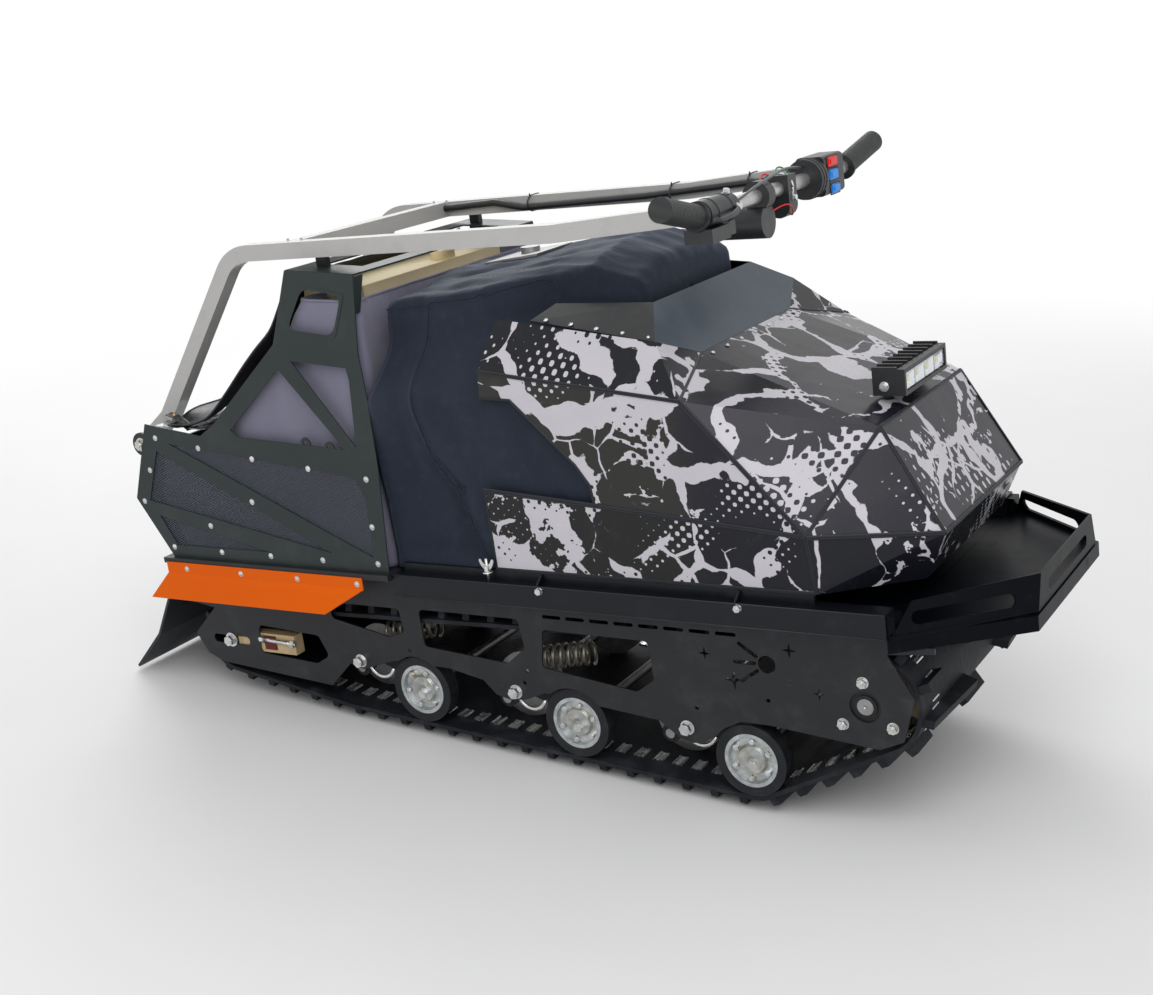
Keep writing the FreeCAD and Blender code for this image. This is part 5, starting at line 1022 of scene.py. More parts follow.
# ------------------------------------------------------------------ fuel bay: cage and mesh
# Folded sheet panels, laser-cut and powder-coated, stand on the rear of the side plates.
# Expanded mesh is riveted behind the lower windows, and a rolled rim lines the upper ones.
bronze = Finish("bronze_coat", Specular_IOR_Level=0.3)
bronze_dust = bronze.cloud(0.06, 6.0, 0.6).between(0.48, 0.85)
bronze_colour = bronze.mix(bronze.cloud(0.3, 2.0), shade(28, 38, 41), shade(42, 49, 48))
bronze.wear(Base_Color=bronze.mix(bronze_dust * 0.25, bronze_colour, shade(76, 82, 84)),
            Roughness=bronze_dust * 0.2 + 0.36,
            Normal=bronze.bumps((0.0012, 2.0, 0.00007), (0.12, 2.0, 0.0014)))
dress(bronze, "cage_panel_right", "cage_panel_left", "rear_panel", "cage_top", "pivot_brackets")

mesh_wire = Finish("expanded_mesh", Specular_IOR_Level=0.5)
mesh_x, mesh_y, mesh_z = mesh_wire.axes()
mesh_along = mesh_x + mesh_y
mesh_rows = (mesh_z + mesh_along * 0.55) * (math.pi / 0.0044)
mesh_columns = (mesh_z - mesh_along * 0.55) * (math.pi / 0.0044)
mesh_height = (mesh_rows.wave() * mesh_columns.wave()).size()
mesh_wire.wear(Base_Color=mesh_wire.mix(mesh_wire.cloud(0.01, 4.0), shade(46, 50, 60), shade(74, 79, 92)),
               Roughness=mesh_wire.cloud(0.02) * 0.2 + 0.4,
               Alpha=mesh_height.between(0.46, 0.40),
               Normal=mesh_wire.relief(mesh_height, 0.0008))
dress(mesh_wire, "mesh_sheets")

CAGE_RIVETS = ((-470, 534), (-370, 518), (-248, 502), (-126, 489), (-5, 475), (-499, 474), (-528, 415),
               (-475, 331), (-360, 328), (-245, 328), (-128, 328), (-9, 329), (-266, 425), (-375, 376), (-9, 393))
cage_spots = both([(chassis(x, -290, z), Vector((0, -1, 0))) for x, z in CAGE_RIVETS])
cage_spots += [(chassis(x, y, z), heading(-1, 0, lean)) for y in (-180, -60, 60, 180)
               for x, z, lean in ((-490.5, 328, -0.6), (-541, 409, -0.6), (-539, 434, 0.45))]
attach(grow("cage_rivets", rivets, spots(cage_spots), zinc, Width=0.0105, Height=0.0022), "chassis")


def leaning(x, z):
    """A point on the right upper panel, which leans inwards above its fold."""
    fold = 700 - 16 * (x + 155) / 175
    top = 817 - 11 * (x + 126) / 140
    return (x, -290 + 25 * (z - fold) / (top - fold), z)


def rounded(corners, radius):
    """An outline of (x, z) corners with each one rounded."""
    steps = 6
    out = []
    for before, here, after in zip(corners[-1:] + corners[:-1], corners, corners[1:] + corners[:1]):
        here_v = Vector(here)
        first = (Vector(before) - here_v).normalized() * radius
        last = (Vector(after) - here_v).normalized() * radius
        for k in range(steps + 1):
            t = k / steps
            out.append(here_v + first * (1 - t) ** 2 + last * t ** 2)
    return out


rims = []
window = [(-126, 722), (-27, 710), (-8, 774), (-92, 790)]
middle = Vector((sum(x for x, z in window) / 4, sum(z for x, z in window) / 4))
inner_edge = rounded([tuple(Vector(corner) + (middle - Vector(corner)) * 0.05) for corner in window], 17)
outer_edge = rounded([tuple(Vector(corner) + (middle - Vector(corner)) * -0.07) for corner in window], 8)
for side in (-1, 1):
    rows = []
    for lift in (0.3, 0.9):
        for edge in ((inner_edge, outer_edge) if lift < 0.5 else (outer_edge, inner_edge)):
            row = []
            for x, z in edge:
                px, py, pz = leaning(x, z)
                row.append(chassis(px, side * -(py - lift), pz))
            rows.append(row)
    count = len(inner_edge)
    points = [point for row in rows for point in row]
    faces = []
    for a, b in ((0, 1), (1, 2), (2, 3), (3, 0)):
        faces += [(a * count + k, a * count + (k + 1) % count, b * count + (k + 1) % count, b * count + k)
                  for k in range(count)]
    rims.append(make("rim", points, faces, bronze))
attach(join("upper_window_rims", rims), "chassis")


# ------------------------------------------------------------------ fuel tank and fabric liner
# A moulded cream tank stands in a grey-violet fabric bag that fills the cage, with a rolled hem at its mouth.
# The bag is cut from coated cloth; it bellies a little between its seams. It is shaped here in code.
cream = mottled("tank_polyethylene", shade(222, 204, 158), shade(236, 222, 184),
                (0.05, 4.0), (0.01, 3.0), 0.15, 0.42, (0.002, 3.0, 0.00015), Specular_IOR_Level=0.4,
                Subsurface_Weight=0.1)
dress(cream, "fuel_tank")


def weave(x, y, z, pitch):
    """The height of a plain weave whose threads follow two diagonals of the piece's own axes."""
    warp = ((x + y) * (math.pi / pitch)).wave()
    weft = (z * (math.pi / pitch)).wave()
    return (warp * weft).size()


liner_cloth = Finish("liner_cloth", Specular_IOR_Level=0.35, Sheen_Weight=0.25, Sheen_Roughness=0.5)
liner_x, liner_y, liner_z = liner_cloth.axes()
liner_tone = liner_cloth.cloud(0.09, 3.0, place=liner_cloth.stretched(1.0, 1.0, 0.4))
liner_weave = weave(liner_x, liner_y, liner_z, 0.0016)
liner_cloth.wear(Base_Color=liner_cloth.mix(liner_tone, shade(98, 98, 114), shade(126, 124, 146)),
                 Roughness=liner_weave * 0.15 + 0.55,
                 Normal=liner_cloth.relief(liner_weave, 0.00018,
                                           liner_cloth.relief(liner_cloth.cloud(0.03, 3.0), 0.0012)))


def skin(name, rows, finish, inside, around=False):
    """A smooth surface through rows of points in metres, facing away from a point inside."""
    faces = walls(len(rows), len(rows[0]), around)
    piece = make(name, [point for row in rows for point in row], faces, finish, True)
    shell = bmesh.new()
    shell.from_mesh(piece.data)
    bmesh.ops.remove_doubles(shell, verts=shell.verts, dist=0.00005)
    bmesh.ops.dissolve_degenerate(shell, edges=shell.edges, dist=0.00003)
    outward = sum((face.calc_center_median() - inside).dot(face.normal) * face.calc_area()
                  for face in shell.faces)
    if outward < 0:
        bmesh.ops.reverse_faces(shell, faces=shell.faces)
    shell.to_mesh(piece.data)
    shell.free()
    return piece


def thicken(piece, thickness):
    """Gives a sheet its thickness, towards its inside."""
    solid = piece.modifiers.new("thickness", "SOLIDIFY")
    solid.thickness = thickness
    solid.offset = -1.0
    return piece


def step(value, low, high):
    """A smooth step from 0 at low to 1 at high."""
    t = min(1.0, max(0.0, (value - low) / (high - low)))
    return t * t * (3 - 2 * t)


def reading(table, position):
    """A value read off a table of (position, value) rows, straight between them."""
    for (p0, v0), (p1, v1) in zip(table, table[1:]):
        if position <= p1 or (p1, v1) == table[-1]:
            t = min(1.0, max(0.0, (position - p0) / (p1 - p0)))
            return v0 + (v1 - v0) * t


def spread_out(corners, count):
    """Points evenly spaced along straight runs between corners."""
    corners = [Vector(corner) for corner in corners]
    reach = [0.0]
    for a, b in zip(corners, corners[1:]):
        reach.append(reach[-1] + (b - a).length)
    out = []
    for k in range(count):
        wanted = reach[-1] * k / (count - 1)
        i = max(j for j in range(len(corners) - 1) if reach[j] <= wanted + 1e-9)
        out.append(corners[i].lerp(corners[i + 1], (wanted - reach[i]) / max(reach[i + 1] - reach[i], 1e-9)))
    return out


def relaxed(line, rounds, closed=False):
    """A line of evenly spaced points with its corners softened; open ends stay."""
    for _ in range(rounds):
        count = len(line)
        kept = range(count) if closed else range(1, count - 1)
        soft = list(line)
        for k in kept:
            soft[k] = (line[k - 1] + line[k] * 2 + line[(k + 1) % count]) / 4
        line = soft
    return line


LINER_FRONT = 5
liner_rear = relaxed(spread_out([(-470, 314), (-520, 420), (-490, 500), (-330, 545), (-160, 690),
                                 (-110, 768)], 86), 8)
liner_rows = []
for rear_x, rear_z in liner_rear:
    outline = [(LINER_FRONT, 0), (LINER_FRONT, 270), (rear_x, 270), (rear_x, -270), (LINER_FRONT, -270),
               (LINER_FRONT, 0)]
    loop = relaxed(spread_out(outline, 201)[:-1], 10, True)
    row = []
    for k, (x, y) in enumerate(loop):
        z = rear_z - (rear_z - 314) * 0.013 * (x - rear_x) / (LINER_FRONT - rear_x)
        tangent = loop[(k + 1) % 200] - loop[k - 1]
        out = Vector((tangent.y, -tangent.x)).normalized()
        belly = (noise.noise(Vector((x / 70, y / 70, z / 190))) * 5.0
                 + noise.noise(Vector((x / 24, y / 24, z / 70))) * 1.6)
        belly += 1.5 - 4.0 * step(z, 740, 768)
        corner = step(abs(y), 215, 262) * step(x, -40, 0) * step(z, 540, 640)
        row.append(chassis(x + out.x * belly + 12 * corner, y + out.y * belly, z))
    liner_rows.append(row)
mouth = liner_rows[-1]
centre = sum(mouth, Vector((0, 0, 0))) / len(mouth)
for share, drop in ((0.985, -0.0015), (0.96, 0.002), (0.93, 0.010), (0.80, 0.014), (0.6, 0.014), (0.3, 0.014),
                    (0.0, 0.014)):
    liner_rows.append([centre + (point - centre) * share - Vector((0, 0, drop)) for point in mouth])
liner = skin("fabric_liner", liner_rows, liner_cloth, chassis(-200, 0, 450), True)
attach(thicken(liner, 0.0012), "chassis")
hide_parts("bay_liner")
hem_line = relaxed([point for point in mouth] + [mouth[0]], 1)
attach(tube("liner_hem", hem_line, 0.0022, liner_cloth, 8), "chassis")


# ------------------------------------------------------------------ lid over the bay's rear slope
# A glossy black coated fabric is stretched from the rear panel up to the top frame. A strap holds its foot
# over silver foil insulation, and a brass eyelet takes the strap's end.
lid_cloth = Finish("lid_cloth", Specular_IOR_Level=0.45, Coat_Weight=0.1, Coat_Roughness=0.3)
lid_x, lid_y, lid_z = lid_cloth.axes()
lid_weave = weave(lid_x, lid_y, lid_z, 0.0014)
lid_cloth.wear(Base_Color=lid_cloth.mix(lid_cloth.cloud(0.05, 4.0), shade(14, 16, 19), shade(28, 31, 35)),
               Roughness=lid_cloth.cloud(0.03) * 0.2 + 0.3,
               Normal=lid_cloth.relief(lid_weave, 0.00012,
                                       lid_cloth.relief(lid_cloth.cloud(0.025, 3.0), 0.0015)))

lid_profile = relaxed(spread_out([(-452, 566), (-400, 566), (-352, 580), (-250, 664), (-178, 716), (-156, 760),
                                  (-138, 800)], 74), 8)
lid_rows = []
for k, (x, z) in enumerate(lid_profile):
    half = 271 - 0.24 * max(0, z - 690)
    row = []
    for n in range(77):
        y = half * (n / 38 - 1)
        sway = (noise.noise(Vector((x / 60, y / 45, 3.1))) * 3.2
                + noise.noise(Vector((x / 30, y / 160, 9.3))) * 2.2)
        sag = -5.0 * (1 - (y / half) ** 2) * step(x, -452, -380) * step(x, -150, -240)
        edge = 2.0 * step(abs(y), half - 12, half)
        edge -= 15 * step(abs(y), 205, half) * step(x, -150, -330)
        row.append(chassis(x, y, z + sag + sway * step(half - abs(y), 0, 30) + edge))
    lid_rows.append(row)
lid = skin("bay_lid", lid_rows, lid_cloth, chassis(-200, 0, 450))
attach(thicken(lid, 0.0012), "chassis")
lid_hems = [tube("hem", [row[n] for row in lid_rows[::2]], 0.0022, lid_cloth, 8) for n in (0, -1)]
lid_hems += [tube("hem", lid_rows[n][::2], 0.0022, lid_cloth, 8) for n in (0, -1)]
lid_hem = join("bay_lid_hems", lid_hems)
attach(lid_hem, "chassis")

foil_metal = mottled("silver_foil", shade(170, 174, 178), shade(216, 219, 222),
                     (0.01, 3.0), (0.01, 3.0), 0.2, 0.25, (0.012, 4.0, 0.002), Metallic=0.9)
foil_rows = []
for k in range(40):
    x = -498 + 128 * k / 39
    foil_rows.append([chassis(x, y, 549 + 3 * noise.noise(Vector((x / 9, y / 12, 1.7)))
                              - 3 * step(x, -430, -370))
                      for y in [-268 + 536 * n / 80 for n in range(81)]])
foil = skin("foil_insulation", foil_rows, foil_metal, chassis(-450, 0, 450))
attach(thicken(foil, 0.0008), "chassis")

straps = []
for side in (-1, 1):
    line = [chassis(-455, side * 262, 571), chassis(-436, side * 262, 566), chassis(-420, side * 263, 556),
            chassis(-405, side * 264, 544)]
    straps.append(ribbon("strap", line, [heading(0.4, 0, 1)] * 4, 0.018, 0.0016, lid_cloth))
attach(join("lid_straps", straps), "chassis")
brass = mottled("brass", shade(190, 150, 84), shade(214, 180, 116),
                (0.005, 3.0), (0.004, 3.0), 0.15, 0.25, (0.001, 3.0, 0.00005), Metallic=1.0)
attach(grow("lid_eyelets", rivets, spots(both([(chassis(-441, -262, 569.5), heading(0.2, 0, 1))])), brass,
             Width=0.009, Height=0.0022), "chassis")


# ------------------------------------------------------------------ engine cover
# A sewn cover of dark blue-black canvas is drawn over the engine and tucked under the hood.
# A pleat is let in behind its side seam; its crown falls in long folds. It is shaped here in code.
canvas = Finish("cover_canvas", Specular_IOR_Level=0.15, Sheen_Weight=0.12, Sheen_Roughness=0.5,
                Sheen_Tint=(0.6, 0.75, 1.0, 1.0))
canvas_x, canvas_y, canvas_z = canvas.axes()
canvas_weave = weave(canvas_x, canvas_y, canvas_z, 0.0013)
canvas_tone = canvas.cloud(0.16, 4.0)
canvas_dust = canvas.cloud(0.02, 5.0, 0.6).between(0.5, 0.8)
canvas_colour = canvas.mix(canvas_tone, shade(21, 27, 38), shade(42, 48, 62))
canvas.wear(Base_Color=canvas.mix(canvas_dust * 0.16, canvas_colour, shade(66, 82, 98)),
            Roughness=canvas_weave * 0.15 + 0.6,
            Normal=canvas.relief(canvas_weave, 0.0002, canvas.relief(canvas.cloud(0.02, 4.0), 0.0009)))

COVER_TOP = [(30, 768), (230, 790), (315, 800), (390, 808), (470, 780)]
COVER_SHOULDER = [(30, 236), (230, 228), (315, 172), (390, 168), (470, 160)]
COVER_SHOULDER_UP = [(30, 720), (230, 720), (315, 706), (470, 706)]
PLEAT = [(316, 206), (358, 192), (448, 168), (515, 124), (587, 111), (640, 110), (719, 120), (790, 126)]
COVER_ACROSS = 241


def cover_section(x):
    """The cover's outline across the machine as (y, z) points from the right foot to the left."""
    top = reading(COVER_TOP, x)
    shoulder = reading(COVER_SHOULDER, x)
    half = [(-263.4, 316), (-294, 615), (-236, 692), (-shoulder, reading(COVER_SHOULDER_UP, x)),
            (6 - shoulder, top - 16), (-60, top)]
    return relaxed(spread_out(half + [(-y, z) for y, z in reversed(half)], COVER_ACROSS), 7)


def cover_fold(x, y, z, top):
    """How far the canvas stands out from its section at a place, in millimetres."""
    side = 3.0 if y < 0 else 11.0
    behind = step(reading(PLEAT, z) - x, -3, 6)
    crown = step(z, top - 34, top - 12)
    deep = (2.5 + 15 * step(z, 640, 430)) * (1 - 0.65 * step(x, 84, 40))
    folds = -deep * behind + 2.2 * math.exp(-((x - reading(PLEAT, z) - 3) / 4) ** 2)
    folds += behind * 4.0 * noise.noise(Vector((x / 38, side, z / 190)))
    folds += (1 - behind) * 3.6 * noise.noise(Vector(((x + 0.5 * z) / 46, side, (z - 0.5 * x) / 210)))
    folds += 3.0 * noise.noise(Vector((x / 110, side + 4, z / 110)))
    folds *= 1 - crown
    bent = y + 30 * noise.noise(Vector((x / 95, y / 130, 8.8)))
    ridges = (9.0 * noise.noise(Vector((x / 150, bent / 40, 2.7)))
              - 5.0 * abs(noise.noise(Vector((x / 80, bent / 30, 6.1)))))
    plate = step(abs(y), 74, 58) * step(x, 106, 116) * step(x, 242, 232)
    folds += crown * ((ridges + 1.0) * (1 - plate) - 0.4)
    folds += 2.0 * math.exp(-((z - top + 26) / 3.5) ** 2) * step(x, 330, 300)
    if x > 200 and z < 700:
        folds = min(folds, 2.5)
    return folds * step(z, 318, 350)


def cover_row(x, inset=0.0, closing=0.0):
    section = cover_section(x)
    top = reading(COVER_TOP, x)
    row = []
    for k, (y, z) in enumerate(section):
        drawn = (23 * step(z, 570, 690) - 9) * step(x, 78, 36)
        # Below about 600 mm the rear edge is drawn 12 mm further back over the liner's strip. This is partly the
        # cover's real overlap of the cage's edge, and partly a dark sheet laid over the strip where it lies in
        # shade.
        if inset < 6 and closing == 0:
            drawn -= 12 * step(z, 640, 560) * step(x, 66, 36)
        tangent = section[min(k + 1, COVER_ACROSS - 1)] - section[max(k - 1, 0)]
        out = Vector((-tangent.y, tangent.x)).normalized()
        lift = cover_fold(x, y, z, top) - inset
        y += out.x * lift
        z += out.y * lift * step(z, 316, 340)
        row.append(chassis(x + drawn, y * (1 - closing), z - closing * 50 * (z - 316) / (top - 316)))
    return row


def shifted(row, x):
    return [point + heading(1, 0, 0) * (x / 1000) for point in row]


cover_rows = []
ROUND = 12.0
CLOSINGS = (1.0, 0.8, 0.6, 0.42, 0.28, 0.17, 0.09, 0.03)
rear_row = [cover_row(30 + 2, ROUND, t) for t in CLOSINGS]
cover_rows += [shifted(row, -1.6 + 7 * math.sin(math.pi * t)) for row, t in zip(rear_row, CLOSINGS)]
for degrees in (12, 35, 62):
    angle = math.radians(degrees)
    cover_rows.append(cover_row(30 + ROUND * (1 - math.sin(angle)),
                                ROUND * (1 - math.cos(math.pi / 2 - angle))))
cover_rows += [cover_row(42 + 5.5 * k) for k in range(76)]
front_row = [cover_row(466, ROUND, t) for t in reversed(CLOSINGS)]
cover_rows += [cover_row(463, 3.0), cover_row(467, 8.0)] + [shifted(row, 3.5) for row in front_row]
cover = skin("canvas_cover", cover_rows, canvas, chassis(250, 0, 520))
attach(thicken(cover, 0.0016), "chassis")
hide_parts("engine_cover")


def on_cover(x, z, side, proud):
    """The canvas at a height on its side, moved out by a little."""
    section = cover_section(x)
    half = section[:COVER_ACROSS // 2]
    y, z = min(half, key=lambda point: abs(point[1] - z) + (1000 if point[0] > -150 else 0))
    lift = cover_fold(x, y, z, reading(COVER_TOP, x)) + proud
    return chassis(x, side * -(y - lift * 0.98), z)


seams = []
stitch_lines = []
for side in (-1, 1):
    pleat_line = [on_cover(reading(PLEAT, z) + 5, z, side, 0.4) for z in range(336, 752, 8)]
    seams.append(tube("welt", pleat_line, 0.0010, canvas, 6))
    stitch_lines.append([on_cover(reading(PLEAT, z) + 11, z, side, 0.15) for z in range(336, 752, 6)])
    brow = [on_cover(x, reading(COVER_TOP, x) - 30, side, 0.4) for x in range(44, 330, 8)]
    seams.append(tube("welt", brow, 0.0010, canvas, 6))
    stitch_lines.append([on_cover(x, reading(COVER_TOP, x) - 36, side, 0.15) for x in range(44, 330, 6)])
    for (x0, z0), (x1, z1) in (((126, 515), (123, 489)), ((123, 489), (170, 453)), ((170, 453), (174, 464)),
                               ((174, 464), (126, 515)), ((123, 489), (150, 490)), ((170, 453), (150, 490))):
        run = [on_cover(x0 + (x1 - x0) * k / 10 + 9, z0 + (z1 - z0) * k / 10, side, 0.9) for k in range(11)]
        seams.append(tube("welt", run, 0.0011, canvas, 6))
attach(join("cover_seams", seams), "chassis")

stitches = Recipe("stitches", Gap=0.0052, Length=0.0036, Thread=0.00042)
stitch_spots = stitches.node("GeometryNodeResampleCurve", {"mode": "LENGTH"}, {
    "Curve": stitches.inputs["Base"], "Length": stitches.inputs["Gap"]})
stitch_thread = stitches.node("GeometryNodeMeshUVSphere", {}, {"Segments": 6, "Rings": 5, "Radius": 1.0})
stitch_size = stitches.node("ShaderNodeCombineXYZ", {}, {
    "X": stitches.inputs["Thread"], "Y": stitches.inputs["Thread"],
    "Z": stitches.times(stitches.inputs["Length"], 0.5)})
stitch_way = stitches.node("FunctionNodeAlignRotationToVector", {"axis": "Z"}, {
    "Vector": stitches.node("GeometryNodeInputTangent", {}, {})})
stitches.close(stitches.node("GeometryNodeInstanceOnPoints", {}, {
    "Points": stitch_spots, "Instance": stitch_thread, "Rotation": stitch_way, "Scale": stitch_size}))

thread = mottled("sewing_thread", shade(20, 25, 36), shade(34, 40, 54),
                 (0.004, 3.0), (0.001, 3.0), 0.2, 0.6, (0.0004, 3.0, 0.00005), Specular_IOR_Level=0.3)
sewn = []
for line in stitch_lines:
    piece = grow("stitch", stitches, wire("stitch", line), thread)
    sewn.append(piece)
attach(join("cover_stitches", sewn), "chassis")

iron = mottled("cast_iron", shade(44, 44, 46), shade(88, 87, 86),
               (0.02, 5.0), (0.01, 3.0), 0.3, 0.45, (0.002, 3.0, 0.0003), Metallic=0.4)
dress(iron, "engine_block")
dress(turned_steel, "top_plate")


# ------------------------------------------------------------------ fenders, flap and hitch
# Bright orange powder-coated fenders are folded from sheet and bolted to the cage's ledges.
# A thick grey-black rubber flap hangs from the rear beam, above a flat steel hitch tongue.
orange = Finish("orange_coat", Specular_IOR_Level=0.08, Coat_Weight=0.03, Coat_Roughness=0.18)
orange_dust = orange.cloud(0.04, 6.0, 0.62).between(0.52, 0.85)
orange_chips = orange.cloud(0.006, 3.0).between(0.74, 0.77)
orange_colour = orange.mix(orange.cloud(0.2, 2.0), shade(218, 90, 0), shade(226, 98, 0))
orange_colour = orange.mix(orange_dust * 0.12, orange_colour, shade(190, 124, 60))
orange.wear(Base_Color=orange.mix(orange_chips * 0.5, orange_colour, shade(96, 84, 76)),
            Roughness=orange_dust * 0.25 + 0.3,
            Normal=orange.bumps((0.0011, 2.0, 0.00006), (0.11, 2.0, 0.0016)))
dress(orange, "rear_fenders")
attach(grow("fender_screws", rivets, spots(both([(chassis(x, -302.3, 295), Vector((0, -1, 0)))
                                                  for x in (-442, -312, -182, -51)])), zinc,
             Width=0.0105, Height=0.0026), "chassis")

flap_rubber = Finish("flap_rubber", Specular_IOR_Level=0.4)
flap_mud = flap_rubber.cloud(0.07, 6.0, 0.6).between(0.45, 0.85)
flap_grain = flap_rubber.cloud(0.002, 3.0, place=flap_rubber.stretched(1, 0.2, 1))
flap_rubber.wear(Base_Color=flap_rubber.mix(flap_mud * 0.5, shade(27, 31, 36), shade(60, 64, 68)),
                 Roughness=flap_mud * 0.2 + 0.5,
                 Normal=flap_rubber.relief(flap_grain, 0.0002,
                                           flap_rubber.relief(flap_rubber.cloud(0.05), 0.001)))
dress(flap_rubber, "mud_flap")
flap_bolts = [(chassis(-510.2, y, 271), heading(-1, 0, -0.05)) for y in (-220, -110, 110, 220)]
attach(grow("flap_bolts", bolts, spots(flap_bolts), zinc, Across=0.013, Height=0.006, Washer=0.022,
             Washer_Height=0.002, Stud=0.003), "chassis")


# ------------------------------------------------------------------ handle
# A welded frame of square steel tube, painted a warm light grey, folds back on two pivot bolts.
# It rests on rubber buffers on the top frame. Each pivot has a dark ring and a plated bolt.
pale_paint = Finish("pale_grey_coat", Specular_IOR_Level=0.5, Coat_Weight=0.2, Coat_Roughness=0.2)
pale_dust = pale_paint.cloud(0.05, 6.0, 0.6).between(0.5, 0.85)
pale_scuff = pale_paint.cloud(0.004, 4.0, place=pale_paint.stretched(0.15, 1, 1)).between(0.70, 0.76)
pale_colour = pale_paint.mix(pale_paint.cloud(0.25, 2.0), shade(168, 167, 165), shade(178, 177, 175))
pale_colour = pale_paint.mix(pale_dust * 0.3, pale_colour, shade(128, 126, 122))
pale_paint.wear(Base_Color=pale_paint.mix(pale_scuff * 0.5, pale_colour, shade(110, 108, 106)),
                Roughness=pale_dust * 0.2 + 0.32,
                Normal=pale_paint.bumps((0.0012, 2.0, 0.00007), (0.1, 2.0, 0.0010)))
dress(pale_paint, "handle_frame")

pivot_low, pivot_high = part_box("pivot_brackets")
pivot_bolts = []
for y, aim in ((pivot_low.y, -1), (pivot_high.y, 1)):
    place = chassis(-566, 0, 505)
    pivot_bolts.append((Vector((place.x, y, place.z)), Vector((0, aim, 0))))
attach(grow("pivot_bolts", bolts, spots(pivot_bolts), zinc, Across=0.017, Height=0.007, Washer=0.026,
             Washer_Height=0.002, Stud=0.002), "chassis")

welds = []
for side in (-1, 1):
    for lean in (-1, 1):
        bead = [chassis(-145 + lean * 14.6, side * 206.2, z) for z in (831, 838, 846, 853, 860)]
        welds.append(tube("weld", bead, 0.0022, pale_paint, 8))
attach(join("handle_welds", welds), "handle")


# ------------------------------------------------------------------ handlebar and grips
# A bent aluminium bar with ribbed rubber grips and closed ends.
aluminium = Finish("brushed_bar", Metallic=0.85)
bar_brush = aluminium.cloud(0.0008, 2.0, place=aluminium.stretched(1, 0.05, 1))
aluminium.wear(Base_Color=aluminium.mix(aluminium.cloud(0.02, 4.0), shade(176, 174, 174), shade(204, 203, 203)),
               Roughness=bar_brush * 0.2 + 0.26, Normal=aluminium.relief(bar_brush, 0.00005))
dress(aluminium, "handlebar")

grip_rubber = Finish("grip_rubber", Specular_IOR_Level=0.45)
grip_ribs = (grip_rubber.axes()[1] * (2 * math.pi / 0.0042)).wave()
grip_rubber.wear(Base_Color=grip_rubber.mix(grip_rubber.cloud(0.01, 4.0), shade(24, 27, 28), shade(42, 45, 45)),
                 Roughness=grip_rubber.cloud(0.006) * 0.2 + 0.45,
                 Normal=grip_rubber.relief(grip_ribs, 0.0005,
                                           grip_rubber.relief(grip_rubber.cloud(0.0012), 0.0001)))
dress(grip_rubber, "grips")


# ------------------------------------------------------------------ controls
# Moulded black housings: a switch box with a red and two blue rockers, a brake body, and a small lamp pod.
# A clamp with a plated band holds the bar to the frame.
black_plastic = Finish("black_plastic", Specular_IOR_Level=0.5)
plastic_grain = black_plastic.cloud(0.0009, 2.0)
black_plastic.wear(Base_Color=black_plastic.mix(black_plastic.cloud(0.03, 4.0), shade(23, 24, 27),
                                                shade(38, 40, 42)),
                   Roughness=black_plastic.cloud(0.012, 4.0) * 0.25 + 0.28,
                   Normal=black_plastic.relief(plastic_grain, 0.00008))
dress(black_plastic, "switch_box", "bar_controls", "cable_bundle")

button_places = (("red", shade(214, 26, 24), shade(232, 44, 38), (142, 878), (178, 893)),
                 ("blue", shade(16, 126, 214), shade(34, 150, 234), (144, 857), (178, 873)),
                 ("blue", shade(16, 126, 214), shade(34, 150, 234), (150, 836), (182, 850)))
button_paints = {}
switch_pieces = {"red": [], "blue": []}
for name, low_colour, high_colour, (y0, z0), (y1, z1) in button_places:
    if name not in button_paints:
        paint = mottled(name + "_rocker", low_colour, high_colour,
                        (0.01, 3.0), (0.006, 3.0), 0.2, 0.3, (0.001, 3.0, 0.00005), Specular_IOR_Level=0.5)
        button_paints[name] = paint
    switch_pieces[name].append(block("rocker", (653, y0, z0), (657.5, y1, z1), button_paints[name], 1.6))
    switch_pieces[name].append(block("rocker", (655, y0 + 5, z0 + 3), (659, y1 - 18, z1 - 3),
                                     button_paints[name], 1.2))
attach(join("red_rocker", switch_pieces["red"]), "handle")
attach(join("blue_rockers", switch_pieces["blue"]), "handle")

frames = []
for name, low_colour, high_colour, (y0, z0), (y1, z1) in button_places:
    ring = [chassis(654.6, y, z) for y, z in ((y0 - 1.5, z0 - 1.5), (y1 + 1.5, z0 - 1.5), (y1 + 1.5, z1 + 1.5),
                                              (y0 - 1.5, z1 + 1.5), (y0 - 1.5, z0 - 1.5))]
    frames.append(tube("bezel", ring, 0.0011, black_plastic, 8))


def bar_hoop(y, ahead, up, count):
    """A loop round the handlebar's axis at y, from its half width ahead and upwards in millimetres."""
    return [chassis(630.2 + ahead * math.cos(a), y, 865 + up * math.sin(a))
            for a in [2 * math.pi * k / count for k in range(count + 1)]]


for y in (112, 122):
    frames.append(tube("rib", bar_hoop(y, 31.4, 31.4, 40), 0.0008, black_plastic, 6))
for y in (-188, -232):
    frames.append(tube("rib", bar_hoop(y, 21.3, 21.3, 32), 0.0009, black_plastic, 6))
lever = [chassis(649, -176, 866), chassis(657, -186, 863), chassis(661, -214, 859), chassis(660, -246, 857),
         chassis(657, -266, 860)]
frames.append(tube("lever", lever, 0.0036, black_plastic, 10))
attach(join("control_trims", frames), "handle")

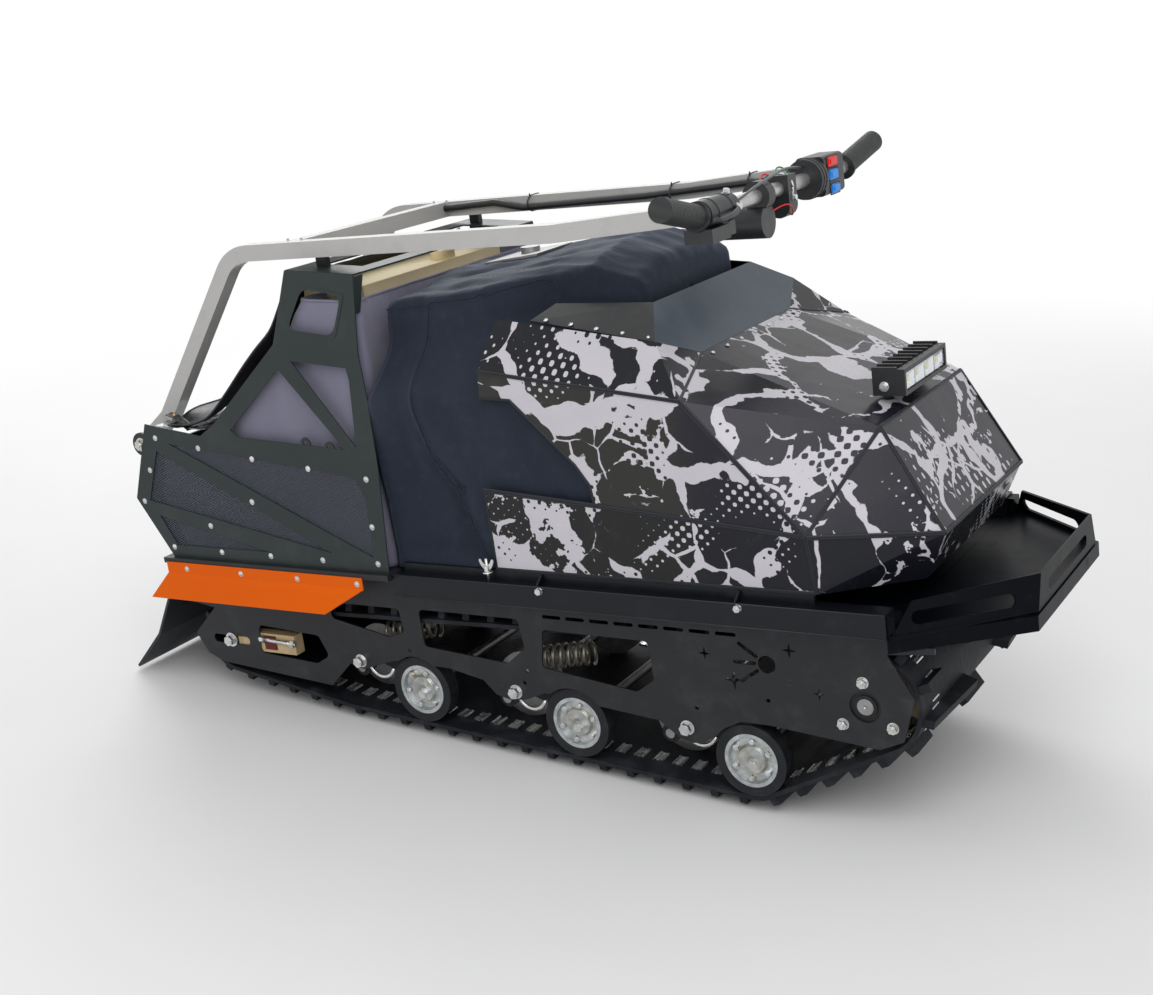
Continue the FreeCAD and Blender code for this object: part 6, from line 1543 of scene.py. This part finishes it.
band = bar_hoop(20, 19, 21.2, 32)
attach(tube("clamp_band", band, 0.0018, zinc, 8), "handle")
control_bolts = [(chassis(651.5, -176, 866), heading(1, 0, 0)), (chassis(638, -243, 838), heading(1, -0.4, 0)),
                 (chassis(647.8, 20, 850), heading(1, 0, 0)), (chassis(636, -176, 886), heading(0.2, 0, 1))]
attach(grow("control_bolts", bolts, spots(control_bolts), zinc, Across=0.0085, Height=0.0045, Washer=0.0105,
             Washer_Height=0.0008, Stud=0.0005), "handle")


# ------------------------------------------------------------------ wiring
# A bundled loom runs along the left arm's inner side, held by nylon ties. Thin loose leads join the
# pod, the clamp and the switch box.
loom_ties = []
tie_shape = ((193.6, -6), (196, -10), (206, -14), (220, -14.2), (232, -14.2), (234.2, -12), (234.4, 0), (234.2, 12),
             (232, 14.2), (220, 14.2), (206, 14), (196, 6), (193.6, 1), (193.4, -3), (193.6, -6))
for x, z in ((55, 845), (343, 847.7), (490, 856.2)):
    around = [chassis(x, y, z + up) for y, up in tie_shape]
    tie_outs = [(point - chassis(x, 220, z)).normalized() for point in around]
    loom_ties.append(ribbon("tie", around, tie_outs, 0.0036, 0.0009, black_plastic))
    tail = [chassis(x, 204, z + 13), chassis(x + 0.5, 203, z + 15), chassis(x + 1.5, 202, z + 17.5)]
    loom_ties.append(tube("tail", tail, 0.0011, black_plastic, 6))
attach(join("loom_ties", loom_ties), "handle")


def lead(name, points, radius, finish):
    """A loose wire through control points on the chassis."""
    path = wire(name, [chassis(*point) for point in points], bend=True)
    evaluated = path.evaluated_get(bpy.context.evaluated_depsgraph_get())
    mesh = bpy.data.meshes.new_from_object(evaluated)
    line = [corner.co.copy() for corner in mesh.vertices]
    bpy.data.objects.remove(path)
    bpy.data.meshes.remove(mesh)
    piece = tube(name, line, radius, finish, 8)
    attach(piece, "handle")
    return piece


def sheath(name, low_colour, high_colour):
    """The finish of a thin insulated wire."""
    made = mottled(name, low_colour, high_colour,
                   (0.006, 3.0), (0.004, 3.0), 0.2, 0.3, (0.001, 3.0, 0.00004), Specular_IOR_Level=0.5)
    return made


red_sheath = sheath("red_sheath", shade(190, 24, 22), shade(222, 40, 34))
green_sheath = sheath("green_sheath", shade(30, 120, 44), shade(50, 160, 60))
black_sheath = sheath("black_sheath", shade(60, 62, 68), shade(98, 101, 108))
lead("lead_red", [(622, -34, 842), (612, -22, 862), (606, -4, 880), (608, 10, 892), (618, 14, 882)], 0.0013,
     red_sheath)
lead("lead_green", [(612, 40, 872), (604, 56, 888), (604, 74, 892), (608, 90, 884), (614, 102, 872)], 0.0013,
     green_sheath)
lead("lead_black", [(640, -166, 868), (652, -120, 884), (648, -40, 892), (636, 40, 894), (628, 104, 884)],
     0.0021, black_sheath)
lead("lead_pod", [(640, -44, 838), (654, -22, 848), (656, 0, 838), (648, 14, 822), (640, 20, 826)], 0.0011,
     red_sheath)
